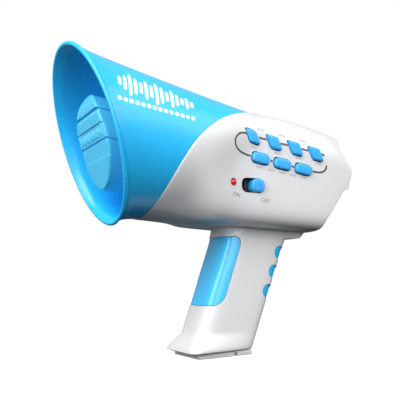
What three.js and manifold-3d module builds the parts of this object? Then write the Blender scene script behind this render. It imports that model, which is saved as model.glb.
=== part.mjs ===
// Toy voice-changer megaphone: a slanted horn on a pistol-grip body.
// Millimetres, +Z up. The origin is the centre of the foot's resting face.
// The horn points along -Y, the button side is +X, the foot rests on z = 0.
import * as THREE from 'three';
import { mergeVertices } from 'three/addons/utils/BufferGeometryUtils.js';
import Module from 'manifold-3d';

const wasm = await Module();
wasm.setup();

// ---------------------------------------------------------------- driving dimensions
const GAP = 0.3; // clearance between neighbouring pieces
const MOUTH_CENTRE = [0, -96, 157]; // middle of the horn's mouth
const HORN_TILT = THREE.MathUtils.degToRad(9.4); // horn axis rises towards the front
const MOUTH_SLANT = Math.tan(THREE.MathUtils.degToRad(25.2)); // mouth leans over the axis
const MOUTH_HALF_WIDTH = 57.2;
const MOUTH_HALF_HEIGHT = 58.8;
const HORN_THROAT_RADIUS = 46;
const HORN_GROWTH = 8.2; // how much wider the plain horn is at the mouth
const HORN_LENGTH = 125;
const HORN_WALL = 3.2;
const SKIRT_STEP = 1.6; // depth of the horn's rebate under the sleeve
const SLEEVE_PROUD = 0.8; // the sleeve's edge stands this proud of the horn
const SHELL_WALL = 2.1;
const BODY_HALF_WIDTH = 40;
const REAR_STATION = 188; // distance of the body's rear edge behind the mouth centre
const FLOOR_STATION = 66; // horn floor, behind the mouth centre
const FLOOR_THICKNESS = 2.5;
const GRIP_HALF_WIDTH = 19;
const GRIP_RAKE = THREE.MathUtils.degToRad(21.5);
const GRIP_BOTTOM = 4; // lower edge of the shells, above the resting face
const GRIP_TOP = 104;
const GRIP_WALL = 2.2;
const FOOT_HALF_WIDTH = 26;
const TOE_REACH = 3.9; // how far the foot's toe kicks forward
const TOE_BOTTOM = 6;
const TOE_TOP = 16;
const PANEL_X = 40; // outer face of the button panel
const BUTTON_PROUD = 2.3;
const BUTTON_FOOT_X = 33;
const BUTTON_GAP = 0.7;
const BOARD_X = 26; // inner face of the main board
const BOARD_THICKNESS = 1.6;
const EFFECT_ROW = { first: 109.6, pitch: 19, w: 17, width: 8.8, height: 9, slant: 5.2 };
const MELODY_ROW = { first: 118.4, pitch: 19, w: 2.8, length: 14.3, height: 7.3 };
const LED_PLACE = { s: 97.6, w: -19.1, radius: 2.4 };
const SLIDER_SLOT = { y: 14.2, z: 120.6, length: 19.5, height: 10.6 };
const SLIDER_KNOB_LENGTH = 10.5;
const CELL_RADIUS = 7.25;
const CELL_LENGTH = 49.2;
const CELL_START = 18;
const CELL_PLACES = [[7.45, 6], [-7.45, 6], [0, -7.1]];

// ---------------------------------------------------------------- materials
function plastic(colour, roughness) {
  return new THREE.MeshStandardMaterial({ color: colour, roughness, metalness: 0 });
}
function metal(colour, roughness) {
  return new THREE.MeshStandardMaterial({ color: colour, roughness, metalness: 1 });
}
const BLUE = plastic(0x14a4f4, 0.28);
const WHITE = plastic(0xe6e6e6, 0.25);
const BUTTON_BLUE = plastic(0x3db4f7, 0.3);
const RED_LENS = plastic(0xc01818, 0.1);
const SILICONE = plastic(0xb9bcbf, 0.8);
const BOARD_GREEN = plastic(0x2f6b3a, 0.5);
const BLACK = plastic(0x1b1b1d, 0.5);
const PAPER = plastic(0x2a2622, 0.9);
const FOAM = plastic(0x202020, 0.95);
const STEEL = metal(0xb4b6b8, 0.35);
const CELL_JACKET = plastic(0x3a6f4c, 0.35);
const RED_WIRE = plastic(0xb02020, 0.5);
const BLACK_WIRE = plastic(0x1a1a1a, 0.5);

// ---------------------------------------------------------------- solids and frames
function solid(geometry) {
  const plain = geometry.clone();
  plain.deleteAttribute('normal');
  plain.deleteAttribute('uv');
  const merged = mergeVertices(plain, 1e-4);
  return new wasm.Manifold(new wasm.Mesh({
    numProp: 3,
    vertProperties: new Float32Array(merged.attributes.position.array),
    triVerts: new Uint32Array(merged.index.array),
  }));
}

function geometryOf(manifold) {
  const mesh = manifold.getMesh();
  const geometry = new THREE.BufferGeometry();
  geometry.setAttribute('position', new THREE.BufferAttribute(mesh.vertProperties, 3));
  geometry.setIndex(new THREE.BufferAttribute(mesh.triVerts, 1));
  geometry.computeVertexNormals();
  return geometry;
}

function moved(geometry, x, y, z) {
  geometry.translate(x, y, z);
  return geometry;
}

function box(x, y, z) {
  const size = new THREE.BoxGeometry(x[1] - x[0], y[1] - y[0], z[1] - z[0]);
  return solid(moved(size, (x[0] + x[1]) / 2, (y[0] + y[1]) / 2, (z[0] + z[1]) / 2));
}

// a rod along X between two stations
function rodX(radius, x0, x1, y, z, sides = 14) {
  const rod = new THREE.CylinderGeometry(radius, radius, x1 - x0, sides);
  rod.rotateZ(Math.PI / 2);
  return solid(moved(rod, (x0 + x1) / 2, y, z));
}

// a rod along Y between two stations
function rodY(radius, y0, y1, x, z, sides = 14) {
  const rod = new THREE.CylinderGeometry(radius, radius, y1 - y0, sides);
  return solid(moved(rod, x, (y0 + y1) / 2, z));
}

// a rod along Z between two stations
function rodZ(radius, z0, z1, x, y, sides = 14) {
  const rod = new THREE.CylinderGeometry(radius, radius, z1 - z0, sides);
  rod.rotateX(Math.PI / 2);
  return solid(moved(rod, x, y, (z0 + z1) / 2));
}

// a turned piece on the Y axis: profile points are [radius, station]
function turnedY(profile, segments = 20) {
  const points = profile.map(([radius, station]) => new THREE.Vector2(radius, station));
  return solid(new THREE.LatheGeometry(points, segments));
}

// an outline in (y, z) pushed along X from x0 to x1
function slabX(outline, x0, x1) {
  const geometry = new THREE.ExtrudeGeometry(outline, {
    depth: x1 - x0,
    bevelEnabled: false,
    curveSegments: 3,
  });
  geometry.rotateY(Math.PI / 2);
  geometry.rotateX(Math.PI / 2);
  return solid(moved(geometry, x0, 0, 0));
}

const hornFrame = new THREE.Group();
hornFrame.position.set(...MOUTH_CENTRE);
hornFrame.rotation.x = -HORN_TILT;
hornFrame.updateMatrixWorld();
const gripFrame = new THREE.Group();
gripFrame.rotation.x = -GRIP_RAKE;
gripFrame.updateMatrixWorld();
const megaphone = new THREE.Group();
megaphone.add(hornFrame, gripFrame);

function addPart(parent, name, manifold, material) {
  const mesh = new THREE.Mesh(geometryOf(manifold), material);
  mesh.name = name;
  parent.add(mesh);
}

// a solid made in the horn's or the grip's frame, carried into the part's frame
function inPartFrame(manifold, group) {
  return manifold.transform(group.matrixWorld.toArray());
}

function smooth(low, high, value) {
  return THREE.MathUtils.smoothstep(value, low, high);
}

// ---------------------------------------------------------------- the horn and body surfaces
// In the horn's frame X is sideways, Y runs back along the axis and Z is up across it.
function hornRadius(station) {
  return HORN_THROAT_RADIUS + HORN_GROWTH * Math.max((HORN_LENGTH - station) / HORN_LENGTH, 0) ** 1.25;
}

function rimRadius(angle) {
  return 1 / Math.hypot(Math.cos(angle) / MOUTH_HALF_WIDTH, Math.sin(angle) / MOUTH_HALF_HEIGHT);
}

function mouthStation(angle) {
  return -rimRadius(angle) * Math.sin(angle) * MOUTH_SLANT;
}

function flaredRadius(angle, station) {
  const start = mouthStation(angle);
  const flare = rimRadius(angle) - hornRadius(start);
  return hornRadius(station) + flare * Math.exp(-(station - start) / 7);
}

// front edge of the white sleeve: an S that climbs back over the horn
function sleeveFront(angle) {
  const height = (HORN_THROAT_RADIUS + 2.5 * (1 - Math.sin(angle))) * Math.sin(angle);
  return 44 + 17 * Math.exp(height / 28);
}

function topHeight(station) {
  const run = Math.max(station - HORN_LENGTH, 0);
  return hornRadius(station) + SLEEVE_PROUD - 0.02 * run - 3.2 * (run / 80) ** 2;
}

function bottomHeight(station) {
  const run = Math.max(station - 90, 0);
  return hornRadius(Math.min(station, 90)) + SLEEVE_PROUD - 0.1 * run;
}

function bodyRadius(angle, station) {
  const flat = smooth(55, 120, station);
  const tail = smooth(180, 205, station);
  const width = (hornRadius(station) + SLEEVE_PROUD) * (1 - flat) + (BODY_HALF_WIDTH - tail) * flat;
  const above = Math.sin(angle) > 0;
  const height = above ? topHeight(station) : bottomHeight(station);
  const power = 2 + (above ? 1.2 : 5) * smooth(60, 120, station) - 0.2 * tail; // crisp lower edges
  const across = (Math.abs(Math.cos(angle)) / width) ** power;
  const up = (Math.abs(Math.sin(angle)) / height) ** power;
  return (across + up) ** (-1 / power);
}

function sleeveRadius(angle, station) {
  const away = smooth(0, 45, station - sleeveFront(angle));
  return (hornRadius(station) + SLEEVE_PROUD) * (1 - away) + bodyRadius(angle, station) * away;
}

// rear edge of the body: a leaning plane with a cheek on each side
function sleeveRear(angle) {
  const height = bodyRadius(angle, REAR_STATION) * Math.sin(angle);
  const lower = height < -4 ? 10.5 * (1 - THREE.MathUtils.clamp((-4 - height) / 27, 0, 1)) : 0;
  const upper = height >= -4 ? 14 * (1 - THREE.MathUtils.clamp((height - 12.5) / 14.5, 0, 1)) : 0;
  return REAR_STATION + 0.16 * height + lower + upper;
}

// A lathe whose profile is [depth below the surface, run] is bent onto the surface:
// run 0 to 1 goes from start to middle, 1 to 2 from middle to end.
function bentShell(profile, segments, radiusAt, startAt, middleAt, endAt) {
  const lane = profile.map(([depth, run]) => new THREE.Vector2(100 - depth, run));
  const geometry = new THREE.LatheGeometry(lane, segments);
  return solid(bend(geometry, 100, radiusAt, startAt, middleAt, endAt));
}

function bend(geometry, reach, radiusAt, startAt, middleAt, endAt) {
  const place = geometry.attributes.position;
  for (let i = 0; i < place.count; i += 1) {
    const x = place.getX(i);
    const run = place.getY(i);
    const z = place.getZ(i);
    const angle = Math.atan2(z, x);
    const depth = reach - Math.hypot(x, z);
    const from = run <= 1 ? startAt(angle) : middleAt(angle);
    const to = run <= 1 ? middleAt(angle) : endAt(angle);
    const station = from + (to - from) * (run <= 1 ? run : run - 1);
    const radius = radiusAt(angle, station) - depth;
    place.setXYZ(i, radius * Math.cos(angle), station, radius * Math.sin(angle));
  }
  return geometry;
}

// a solid that fills the body's surface, less a depth, between two stations
function bodyPlug(depth, start, end, lean = 0, segments = 32, rings = 5) {
  const geometry = new THREE.CylinderGeometry(1, 1, 1, segments, rings);
  const place = geometry.attributes.position;
  for (let i = 0; i < place.count; i += 1) {
    const reach = Math.hypot(place.getX(i), place.getZ(i));
    const angle = reach > 0 ? Math.atan2(place.getZ(i), place.getX(i)) : 0;
    const station = start + (end - start) * (place.getY(i) + 0.5);
    const leaning = station + lean * BODY_HALF_WIDTH * Math.sin(angle);
    const radius = reach > 0.5 ? sleeveRadius(angle, leaning) - depth : 0;
    const height = radius * Math.sin(angle);
    place.setXYZ(i, radius * Math.cos(angle), station + lean * height, height);
  }
  return solid(geometry);
}

// ---------------------------------------------------------------- horn
const HORN_FACETS = 36;

function hornTail(angle) {
  return Math.max(sleeveFront(angle) + 6, FLOOR_STATION + 6);
}

function hornEdge(angle) {
  return sleeveFront(angle) - GAP;
}

// the room that the horn's skirt needs inside the sleeve
function skirtRoom() {
  const profile = [
    [-GAP, 0.45],
    [-GAP, 1.05],
    [SKIRT_STEP - 2 * GAP, 1.05],
    [SKIRT_STEP - 2 * GAP, 2.06],
    [HORN_WALL + 1, 2.06],
    [HORN_WALL + 1, 0.45],
    [-GAP, 0.45],
  ];
  return bentShell(profile, HORN_FACETS, flaredRadius, mouthStation, hornEdge, hornTail);
}

function hornBell() {
  const outerRuns = [0.06, 0.16, 0.45, 1];
  const profile = [
    [0.9, 0],
    ...outerRuns.map((run) => [0, run]),
    [SKIRT_STEP, 1],
    [SKIRT_STEP, 2],
    [HORN_WALL, 2],
    [HORN_WALL, 1.5],
    ...outerRuns.slice().reverse().map((run) => [HORN_WALL, run]),
    [HORN_WALL, 0],
    [0.9, 0],
  ];
  const wall = bentShell(profile, HORN_FACETS, flaredRadius, mouthStation, hornEdge, hornTail);
  const floorRadius = hornRadius(FLOOR_STATION) - HORN_WALL + 0.8;
  const floor = rodY(floorRadius, FLOOR_STATION, FLOOR_STATION + FLOOR_THICKNESS, 0, 0, HORN_FACETS);
  const soundHole = rodY(21, FLOOR_STATION - 1, FLOOR_STATION + FLOOR_THICKNESS + 1, 0, 0, 24);
  let bell = wall.add(floor).subtract(soundHole);
  for (const [x, z] of speakerScrewPlaces()) {
    bell = bell.subtract(rodY(1.7, FLOOR_STATION - 1, FLOOR_STATION + 9, x, z, 10));
  }
  return bell;
}

// The plug is an oval cup over the loudspeaker; its front leans like the mouth.
function plugBody(width, height, front, back) {
  const geometry = new THREE.CylinderGeometry(1, 1, 1, 32, 1);
  geometry.scale(width, back - front, height);
  geometry.translate(0, (front + back) / 2, -3.5);
  const place = geometry.attributes.position;
  for (let i = 0; i < place.count; i += 1) {
    if (place.getY(i) < (front + back) / 2) {
      place.setY(i, place.getY(i) - 0.42 * (place.getZ(i) + 3.5));
    }
  }
  return solid(geometry);
}

function hornPlug() {
  const back = FLOOR_STATION - GAP;
  let cup = plugBody(28, 31.6, 5, back).subtract(plugBody(25.6, 29.2, 7.4, back + 5));
  const grooves = [[14, 1.1], [-5.7, 1.1]];
  for (const [height, depth] of grooves) {
    const cut = plugBody(40, 50, -30, 60).subtract(plugBody(28 - depth, 31.6 - depth, 5 + depth, 80));
    cup = cup.subtract(cut.intersect(box([-60, 60], [-60, 80], [height - 0.5, height + 0.5])));
  }
  const step = box([-60, 60], [-60, 80], [-16.6, -5.7]).intersect(plugBody(60, 60, -40, 5.6));
  cup = cup.subtract(step);
  for (const side of [-1, 1]) {
    for (const z of [-16, 0, 12]) {
      cup = cup.subtract(box([side * 18, side * 40].sort((a, b) => a - b), [52, 62], [z - 3, z + 3]));
    }
  }
  for (const x of [-12, 0, 12]) cup = cup.subtract(box([x - 3, x + 3], [52, 62], [-60, 60]));
  return cup;
}

// ---------------------------------------------------------------- grip surfaces
// Level cuts of the grip are rounded boxes; front and back lines rake forward to the foot.
function gripFront(z) {
  return -26.7 + 0.376 * z;
}

function gripBack(z) {
  return 23 + 0.415 * z;
}

function gripOutline(angle, z, inset) {
  const toe = 1 - THREE.MathUtils.clamp((z - TOE_BOTTOM) / (TOE_TOP - TOE_BOTTOM), 0, 1);
  const neck = smooth(78, 100, z);
  const front = gripFront(z) - TOE_REACH * toe - 1.5 * neck + inset;
  const back = gripBack(z) + 2 * neck - inset;
  const halfWidth = GRIP_HALF_WIDTH + 0.6 * neck - inset;
  const halfDepth = (back - front) / 2;
  const power = Math.sin(angle) < 0 ? 4.5 + 4 * toe : 7; // rounded front corners, crisp rear ones
  const across = (Math.abs(Math.cos(angle)) / halfWidth) ** power;
  const along = (Math.abs(Math.sin(angle)) / halfDepth) ** power;
  const reach = (across + along) ** (-1 / power);
  const y = (front + back) / 2 + reach * Math.sin(angle);
  const spread = ((FOOT_HALF_WIDTH / GRIP_HALF_WIDTH - 1) * toe * (back - y)) / (back - front);
  return [reach * Math.cos(angle) * (1 + spread), y];
}

function gripSolid(inset, bottom, top, segments = 32) {
  const bends = [bottom, TOE_BOTTOM, 11, TOE_TOP, 48, 78, 87, 95, top];
  const levels = bends.filter((z) => z >= bottom && z <= top);
  const rings = levels.length - 1;
  const geometry = new THREE.CylinderGeometry(1, 1, rings, segments, rings);
  const place = geometry.attributes.position;
  for (let i = 0; i < place.count; i += 1) {
    const reach = Math.hypot(place.getX(i), place.getZ(i));
    const level = levels[Math.round(place.getY(i) + rings / 2)];
    if (reach < 0.5) {
      place.setXYZ(i, 0, (gripFront(level) + gripBack(level)) / 2, level);
    } else {
      const [x, y] = gripOutline(Math.atan2(-place.getZ(i), place.getX(i)), level, inset);
      place.setXYZ(i, x, y, level);
    }
  }
  return solid(geometry);
}

function rearLedge(inset) {
  const outline = new THREE.Shape();
  outline.moveTo(46, 84 + inset);
  outline.lineTo(69 - inset, 84 + inset);
  outline.lineTo(76 - inset, 92);
  outline.lineTo(80 - inset, 104);
  outline.lineTo(46, 104);
  outline.closePath();
  return slabX(outline, -18.6 + inset, 18.6 - inset);
}

// window in the grip for the blue front panel, seen from the side
function gripWindow(grow) {
  const outline = new THREE.Shape();
  const low = 36 - grow;
  const high = 86 + grow;
  const corner = 9 + grow;
  const rearLow = gripFront(low) + 12.5 + grow;
  const rearHigh = gripFront(high) + 12.5 + grow;
  outline.moveTo(-60, low);
  outline.lineTo(rearLow - corner, low);
  outline.quadraticCurveTo(rearLow, low, rearLow + 0.376 * corner, low + corner);
  outline.lineTo(rearHigh - 0.376 * corner, high - corner);
  outline.quadraticCurveTo(rearHigh, high, rearHigh - corner, high);
  outline.lineTo(-60, high);
  outline.closePath();
  return slabX(outline, -40, 40);
}

const LOBE_HEIGHTS = [73.5, 59.3, 45];
const LOBE_RADIUS = 4.9;

function rearLobes(grow) {
  const lobes = LOBE_HEIGHTS.map((z) => rodX(LOBE_RADIUS + grow, -40, 40, gripBack(z) - 0.6, z - 0.3, 24));
  return lobes[0].add(lobes[1]).add(lobes[2]);
}

function frontGripPanel() {
  const skin = gripSolid(0.4, 20, GRIP_TOP).subtract(gripSolid(2.4, 10, GRIP_TOP));
  return skin.intersect(gripWindow(-GAP));
}

function rearGripStrip() {
  const skin = gripSolid(0.5, 20, 95).intersect(rearLobes(-GAP));
  const hollow = gripSolid(GRIP_WALL + 1.5, 20, 95);
  const spine = gripSolid(GRIP_WALL + GAP, 38, 81).subtract(gripSolid(GRIP_WALL + 1.9, 30, 88));
  const back = new THREE.Shape();
  back.moveTo(gripBack(38) - 6, 38);
  back.lineTo(gripBack(81) - 6, 81);
  back.lineTo(gripBack(81) + 10, 81);
  back.lineTo(gripBack(38) + 10, 38);
  back.closePath();
  return skin.subtract(hollow).add(spine.intersect(slabX(back, -15, 15)));
}

// ---------------------------------------------------------------- button shapes
function effectOutline(index, grow) {
  const centre = EFFECT_ROW.first + EFFECT_ROW.pitch * index;
  const half = EFFECT_ROW.width / 2 + grow;
  const tall = EFFECT_ROW.height / 2 + grow;
  const lean = EFFECT_ROW.slant / 2 + grow * 0.3;
  const corners = [[-half + lean, -tall], [half + lean, -tall], [half - lean, tall], [-half - lean, tall]];
  return roundedOutline(corners.map(([s, w]) => [centre + s, EFFECT_ROW.w + w]), 1.3 + grow);
}

function roundedOutline(corners, wantedRadius) {
  const outline = new THREE.Shape();
  const radius = Math.max(wantedRadius, 0.4);
  const count = corners.length;
  corners.forEach(([s, w], i) => {
    const before = corners[(i + count - 1) % count];
    const after = corners[(i + 1) % count];
    const enter = towards([s, w], before, radius);
    const leave = towards([s, w], after, radius);
    if (i === 0) outline.moveTo(...enter);
    else outline.lineTo(...enter);
    outline.quadraticCurveTo(s, w, ...leave);
  });
  outline.closePath();
  return outline;
}

function towards(from, to, distance) {
  const length = Math.hypot(to[0] - from[0], to[1] - from[1]);
  return [0, 1].map((k) => from[k] + ((to[k] - from[k]) * distance) / length);
}

function rowOutline(s, w, length, height, radius) {
  const corners = [[-1, -1], [1, -1], [1, 1], [-1, 1]];
  return roundedOutline(corners.map(([i, j]) => [s + (i * length) / 2, w + (j * height) / 2]), radius);
}

function melodyOutline(index, grow) {
  const centre = MELODY_ROW.first + MELODY_ROW.pitch * index;
  const length = MELODY_ROW.length + 2 * grow;
  return rowOutline(centre, MELODY_ROW.w, length, MELODY_ROW.height + 2 * grow, 3.3 + grow);
}

function sliderOutline(grow) {
  const { y, z, length, height } = SLIDER_SLOT;
  return rowOutline(y, z, length + 2 * grow, height + 2 * grow, 4.8 + grow);
}

function buttonPiece(outlineAt, index) {
  const cap = slabX(outlineAt(index, 0), 35.5, PANEL_X + BUTTON_PROUD);
  const flange = slabX(outlineAt(index, 1.1), 34.8, 35.9);
  const stem = slabX(outlineAt(index, -1.8), BUTTON_FOOT_X, 35.4);
  return cap.add(flange).add(stem);
}

// ---------------------------------------------------------------- housing shells
// screw posts: [y, z] in the part's frame, head station and screw tip on X
function hornPoint(s, w) {
  const point = new THREE.Vector3(0, s, w).applyMatrix4(hornFrame.matrixWorld);
  return [point.y, point.z];
}

function gripPoint(y, z) {
  const point = new THREE.Vector3(0, y, z).applyMatrix4(gripFrame.matrixWorld);
  return [point.y, point.z];
}

const POSTS = [
  { place: hornPoint(128, 33), head: -22 },
  { place: hornPoint(168, 33), head: -22 },
  { place: hornPoint(92, -37), head: -22 },
  { place: hornPoint(168, -33), head: -22 },
  { place: gripPoint(-19.4, 26), head: -9 },
  { place: gripPoint(-8, 84), head: -11 },
];

function wholeHousing() {
  const runs = [0, 0.1, 0.24, 0.42, 0.62, 0.82, 1];
  const profile = [
    ...runs.map((run) => [0, run]),
    ...runs.slice().reverse().map((run) => [SHELL_WALL, run]),
    [0, 0],
  ];
  const sleeve = bentShell(profile, 32, sleeveRadius, sleeveFront, sleeveRear, sleeveRear);
  const cavity = inPartFrame(bodyPlug(SHELL_WALL - 0.05, 62, 215, 0, 32, 8), hornFrame);
  const filled = inPartFrame(bodyPlug(0.8, 75, 184, 0, 32, 6), hornFrame);
  const grip = gripSolid(0, GRIP_BOTTOM, GRIP_TOP).add(rearLedge(0)).subtract(cavity);
  const hollow = gripSolid(GRIP_WALL, 0, GRIP_TOP + 8);
  let shell = inPartFrame(sleeve, hornFrame).add(grip).subtract(hollow);
  const solidBody = filled.add(gripSolid(0.6, GRIP_BOTTOM + 1, GRIP_TOP));
  for (const { place, head } of POSTS) {
    shell = shell.add(rodX(head < -15 ? 4.3 : 4, -60, 60, place[0], place[1], 12).intersect(solidBody));
  }
  for (const { place, head } of POSTS) {
    shell = shell.subtract(rodX(3.1, -70, head, place[0], place[1], 12));
    shell = shell.subtract(rodX(1.7, head - 1, 13, place[0], place[1], 10));
  }
  shell = shell.subtract(gripWindow(0).intersect(gripSolid(-5, 20, 95)));
  shell = shell.subtract(rearLobes(0).intersect(gripSolid(-6, 20, 95)));
  return shell.subtract(inPartFrame(skirtRoom(), hornFrame));
}

const HOUSING = wholeHousing();
const SLIVER = 0.01; // edges shorter than this are closed up

function leftShell() {
  let half = HOUSING.intersect(box([GAP / 2, 80], [-200, 200], [-20, 260]));
  const cuts = [0, 1, 2, 3].map((i) => slabX(effectOutline(i, BUTTON_GAP), 30, 60));
  cuts.push(...[0, 1, 2].map((i) => slabX(melodyOutline(i, BUTTON_GAP), 30, 60)));
  cuts.push(rodX(LED_PLACE.radius + 0.3, 30, 60, LED_PLACE.s, LED_PLACE.w, 16));
  for (const cut of cuts) half = half.subtract(inPartFrame(cut, hornFrame));
  half = half.subtract(slabX(sliderOutline(0), 30, 60));
  for (const [s, w] of BOARD_SCREWS) {
    const post = rodX(2.8, BOARD_X + BOARD_THICKNESS + GAP, 60, s, w, 14).intersect(bodyPlug(0.8, 75, 184));
    const bored = post.subtract(rodX(1.3, 20, 35, s, w, 10));
    half = half.add(inPartFrame(bored, hornFrame));
  }
  return half.simplify(SLIVER);
}

function rightShell() {
  return HOUSING.intersect(box([-80, -GAP / 2], [-200, 200], [-20, 260])).simplify(SLIVER);
}

// ---------------------------------------------------------------- rear of the body
const CAP_LEAN = 0.16;

function mouthpieceCap() {
  const block = bodyPlug(SHELL_WALL + 1, 180, 192, CAP_LEAN, 32, 2);
  const dish = turnedY([[0, -7.5], [9, -7.5], [22, -5], [30, 0], [33, 8], [0, 8]], 28);
  const lean = new THREE.Matrix4().makeRotationX(-Math.atan(CAP_LEAN));
  lean.setPosition(0, 191.5, 0);
  let cap = block.subtract(dish.transform(lean.toArray()));
  cap = cap.subtract(bodyPlug(SHELL_WALL + 3, 168, 181.5, CAP_LEAN, 32, 1));
  for (let i = 0; i < 6; i += 1) {
    const turn = (i * Math.PI) / 3;
    cap = cap.subtract(rodY(1.1, 175, 195, 5 * Math.cos(turn), 5 * Math.sin(turn), 6));
  }
  return cap.subtract(rodY(1.1, 175, 195, 0, 0, 6));
}

function micBoot() {
  return turnedY([[5.3, 172], [7.2, 172], [7.2, 180.2], [5.3, 180.2], [5.3, 172]], 16);
}

// ---------------------------------------------------------------- electronics
const BOARD_SCREWS = [[98, 6], [170, -12], [150, -23]];

function mainBoard() {
  let board = box([BOARD_X, BOARD_X + BOARD_THICKNESS], [94, 174], [-27, 27.6]);
  for (const [s, w] of BOARD_SCREWS) board = board.subtract(rodX(1.5, 20, 40, s, w, 12));
  return board;
}

function keyDome(row, index) {
  return rodX(2.6, BOARD_X + BOARD_THICKNESS + GAP, 31.5, row.first + row.pitch * index, row.w, 10);
}

function buttonMembrane() {
  const under = BOARD_X + BOARD_THICKNESS + GAP;
  let mat = box([under, under + 1], [106, 170], [-3, 22.2]);
  for (let i = 0; i < 4; i += 1) mat = mat.add(keyDome(EFFECT_ROW, i));
  for (let i = 0; i < 3; i += 1) mat = mat.add(keyDome(MELODY_ROW, i));
  return mat;
}

function powerLed() {
  const base = BOARD_X + BOARD_THICKNESS + GAP;
  const { s, w, radius } = LED_PLACE;
  const flange = rodX(radius, base, PANEL_X + 0.6, s, w, 14);
  const dome = new THREE.SphereGeometry(radius, 14, 5);
  return flange.add(solid(moved(dome, PANEL_X + 0.6, s, w)));
}

function powerSlider() {
  const { y, z, length, height } = SLIDER_SLOT;
  const centre = y + (length - SLIDER_KNOB_LENGTH) / 2 - 0.5;
  const outline = rowOutline(centre, z, SLIDER_KNOB_LENGTH, height - 0.9, 4.6);
  const plate = rowOutline(centre - 1, z, 15, height + 4, 1.5);
  let knob = slabX(outline, 35, PANEL_X + 2.4).add(slabX(plate, 33.9, 35.3));
  for (let i = -2; i <= 2; i += 1) {
    const groove = centre + 1.9 * i;
    knob = knob.subtract(box([PANEL_X + 1.6, 60], [groove - 0.4, groove + 0.4], [z - 20, z + 20]));
  }
  return knob;
}

function slideSwitch() {
  const [s, w] = [123.4, -19.2];
  const base = BOARD_X + BOARD_THICKNESS + GAP;
  return box([base, base + 4.2], [s - 8, s + 8], [w - 4, w + 4]);
}

function speakerScrewPlaces() {
  return [90, 210, 330].map((degrees) => {
    const turn = THREE.MathUtils.degToRad(degrees);
    return [30 * Math.cos(turn), 30 * Math.sin(turn)];
  });
}

function speakerFrame() {
  const z = FLOOR_STATION + FLOOR_THICKNESS + 1.4;
  const rim = [[22, z], [27, z], [27, z + 1.4], [23, z + 1.6]];
  const profile = [...rim, [15.5, z + 10], [15.5, z + 11.2], [7, z + 11.2]];
  const inside = [[7, z + 10], [14.3, z + 10], [21.6, z + 1.6]];
  let frame = turnedY([...profile, ...inside, [22, z]], 20);
  for (const [x, y] of speakerScrewPlaces()) {
    const reach = 31.5 / 30;
    const ear = rodY(3.4, z, z + 1.4, x, y, 12).add(earBridge(x * reach, y * reach, z));
    frame = frame.add(ear).subtract(rodY(1.7, z - 1, z + 3, x, y, 10));
  }
  return frame;
}

function earBridge(x, y, station) {
  const bridge = new THREE.BoxGeometry(8, 1.4, 6);
  bridge.translate(26.5, station + 0.7, 0);
  bridge.rotateY(-Math.atan2(y, x));
  return solid(bridge);
}

function speakerCone() {
  const z = FLOOR_STATION + FLOOR_THICKNESS + 2.2;
  const face = [[0, z + 7], [6, z + 7.4], [19.5, z + 1], [20.6, z]];
  const profile = [...face, [21.2, z + 0.6], [20, z + 1.8], [6.2, z + 8.4]];
  return turnedY([...profile, [0, z + 8.2]], 20);
}

function speakerMagnet() {
  const z = FLOOR_STATION + FLOOR_THICKNESS + 12.9;
  return turnedY([[0, z], [15, z], [15, z + 6], [13, z + 6.6], [0, z + 6.6]], 20);
}

function speakerGasket() {
  const z = FLOOR_STATION + FLOOR_THICKNESS + GAP;
  return turnedY([[22, z], [26.5, z], [26.5, z + 0.8], [22, z + 0.8], [22, z]], 20);
}

// ---------------------------------------------------------------- fasteners
function screwAlongX(head, tip, y, z, headRadius, shaftRadius) {
  const crown = rodX(headRadius, head - 2.2, head - GAP, y, z, 12);
  return crown.add(rodX(shaftRadius, head - 1, tip, y, z, 10));
}

function speakerScrew([x, z]) {
  const top = FLOOR_STATION + FLOOR_THICKNESS + 1.4 + 1.4 + GAP;
  return rodY(2.6, top, top + 1.7, x, z, 14).add(rodY(1.3, FLOOR_STATION + GAP, top + 1, x, z, 10));
}

// ---------------------------------------------------------------- battery pack, in the grip's frame
function batteryCell([x, y]) {
  const can = rodZ(CELL_RADIUS, CELL_START, CELL_START + CELL_LENGTH, x, y, 24);
  return can.add(rodZ(2.6, CELL_START, CELL_START + CELL_LENGTH + 1.2, x, y, 14));
}

function batterySpring([x, y]) {
  const turns = 3.5;
  const path = new THREE.Curve();
  path.getPoint = (t) => {
    const angle = turns * 2 * Math.PI * t;
    const radius = 4.4 - 1.8 * t;
    return new THREE.Vector3(x + radius * Math.cos(angle), y + radius * Math.sin(angle), 12.9 + 4.2 * t);
  };
  return wireSolid(path, 0.4, 24, 4);
}

function batteryContact([x, y]) {
  const z = CELL_START + CELL_LENGTH + 1.2 + GAP;
  return box([x - 4.6, x + 4.6], [y - 4.6, y + 4.6], [z, z + 0.5]);
}

function batteryCage() {
  const z = CELL_START + CELL_LENGTH + 1.2 + GAP + 0.5 + GAP;
  const roof = box([-15, 15], [-15, 14], [z, z + 2]);
  const leg = box([-1.2, 1.2], [1.9, 14.2], [CELL_START + 6, z + 1]);
  const saddle = [[7.45, 6], [-7.45, 6]].map(([x, y]) => rodZ(CELL_RADIUS + GAP, 0, z - 0.2, x, y, 24));
  const nose = rodZ(CELL_RADIUS + GAP, 0, z - 0.2, 0, -7.1, 24);
  return roof.add(leg.subtract(saddle[0]).subtract(saddle[1]).subtract(nose));
}

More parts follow.
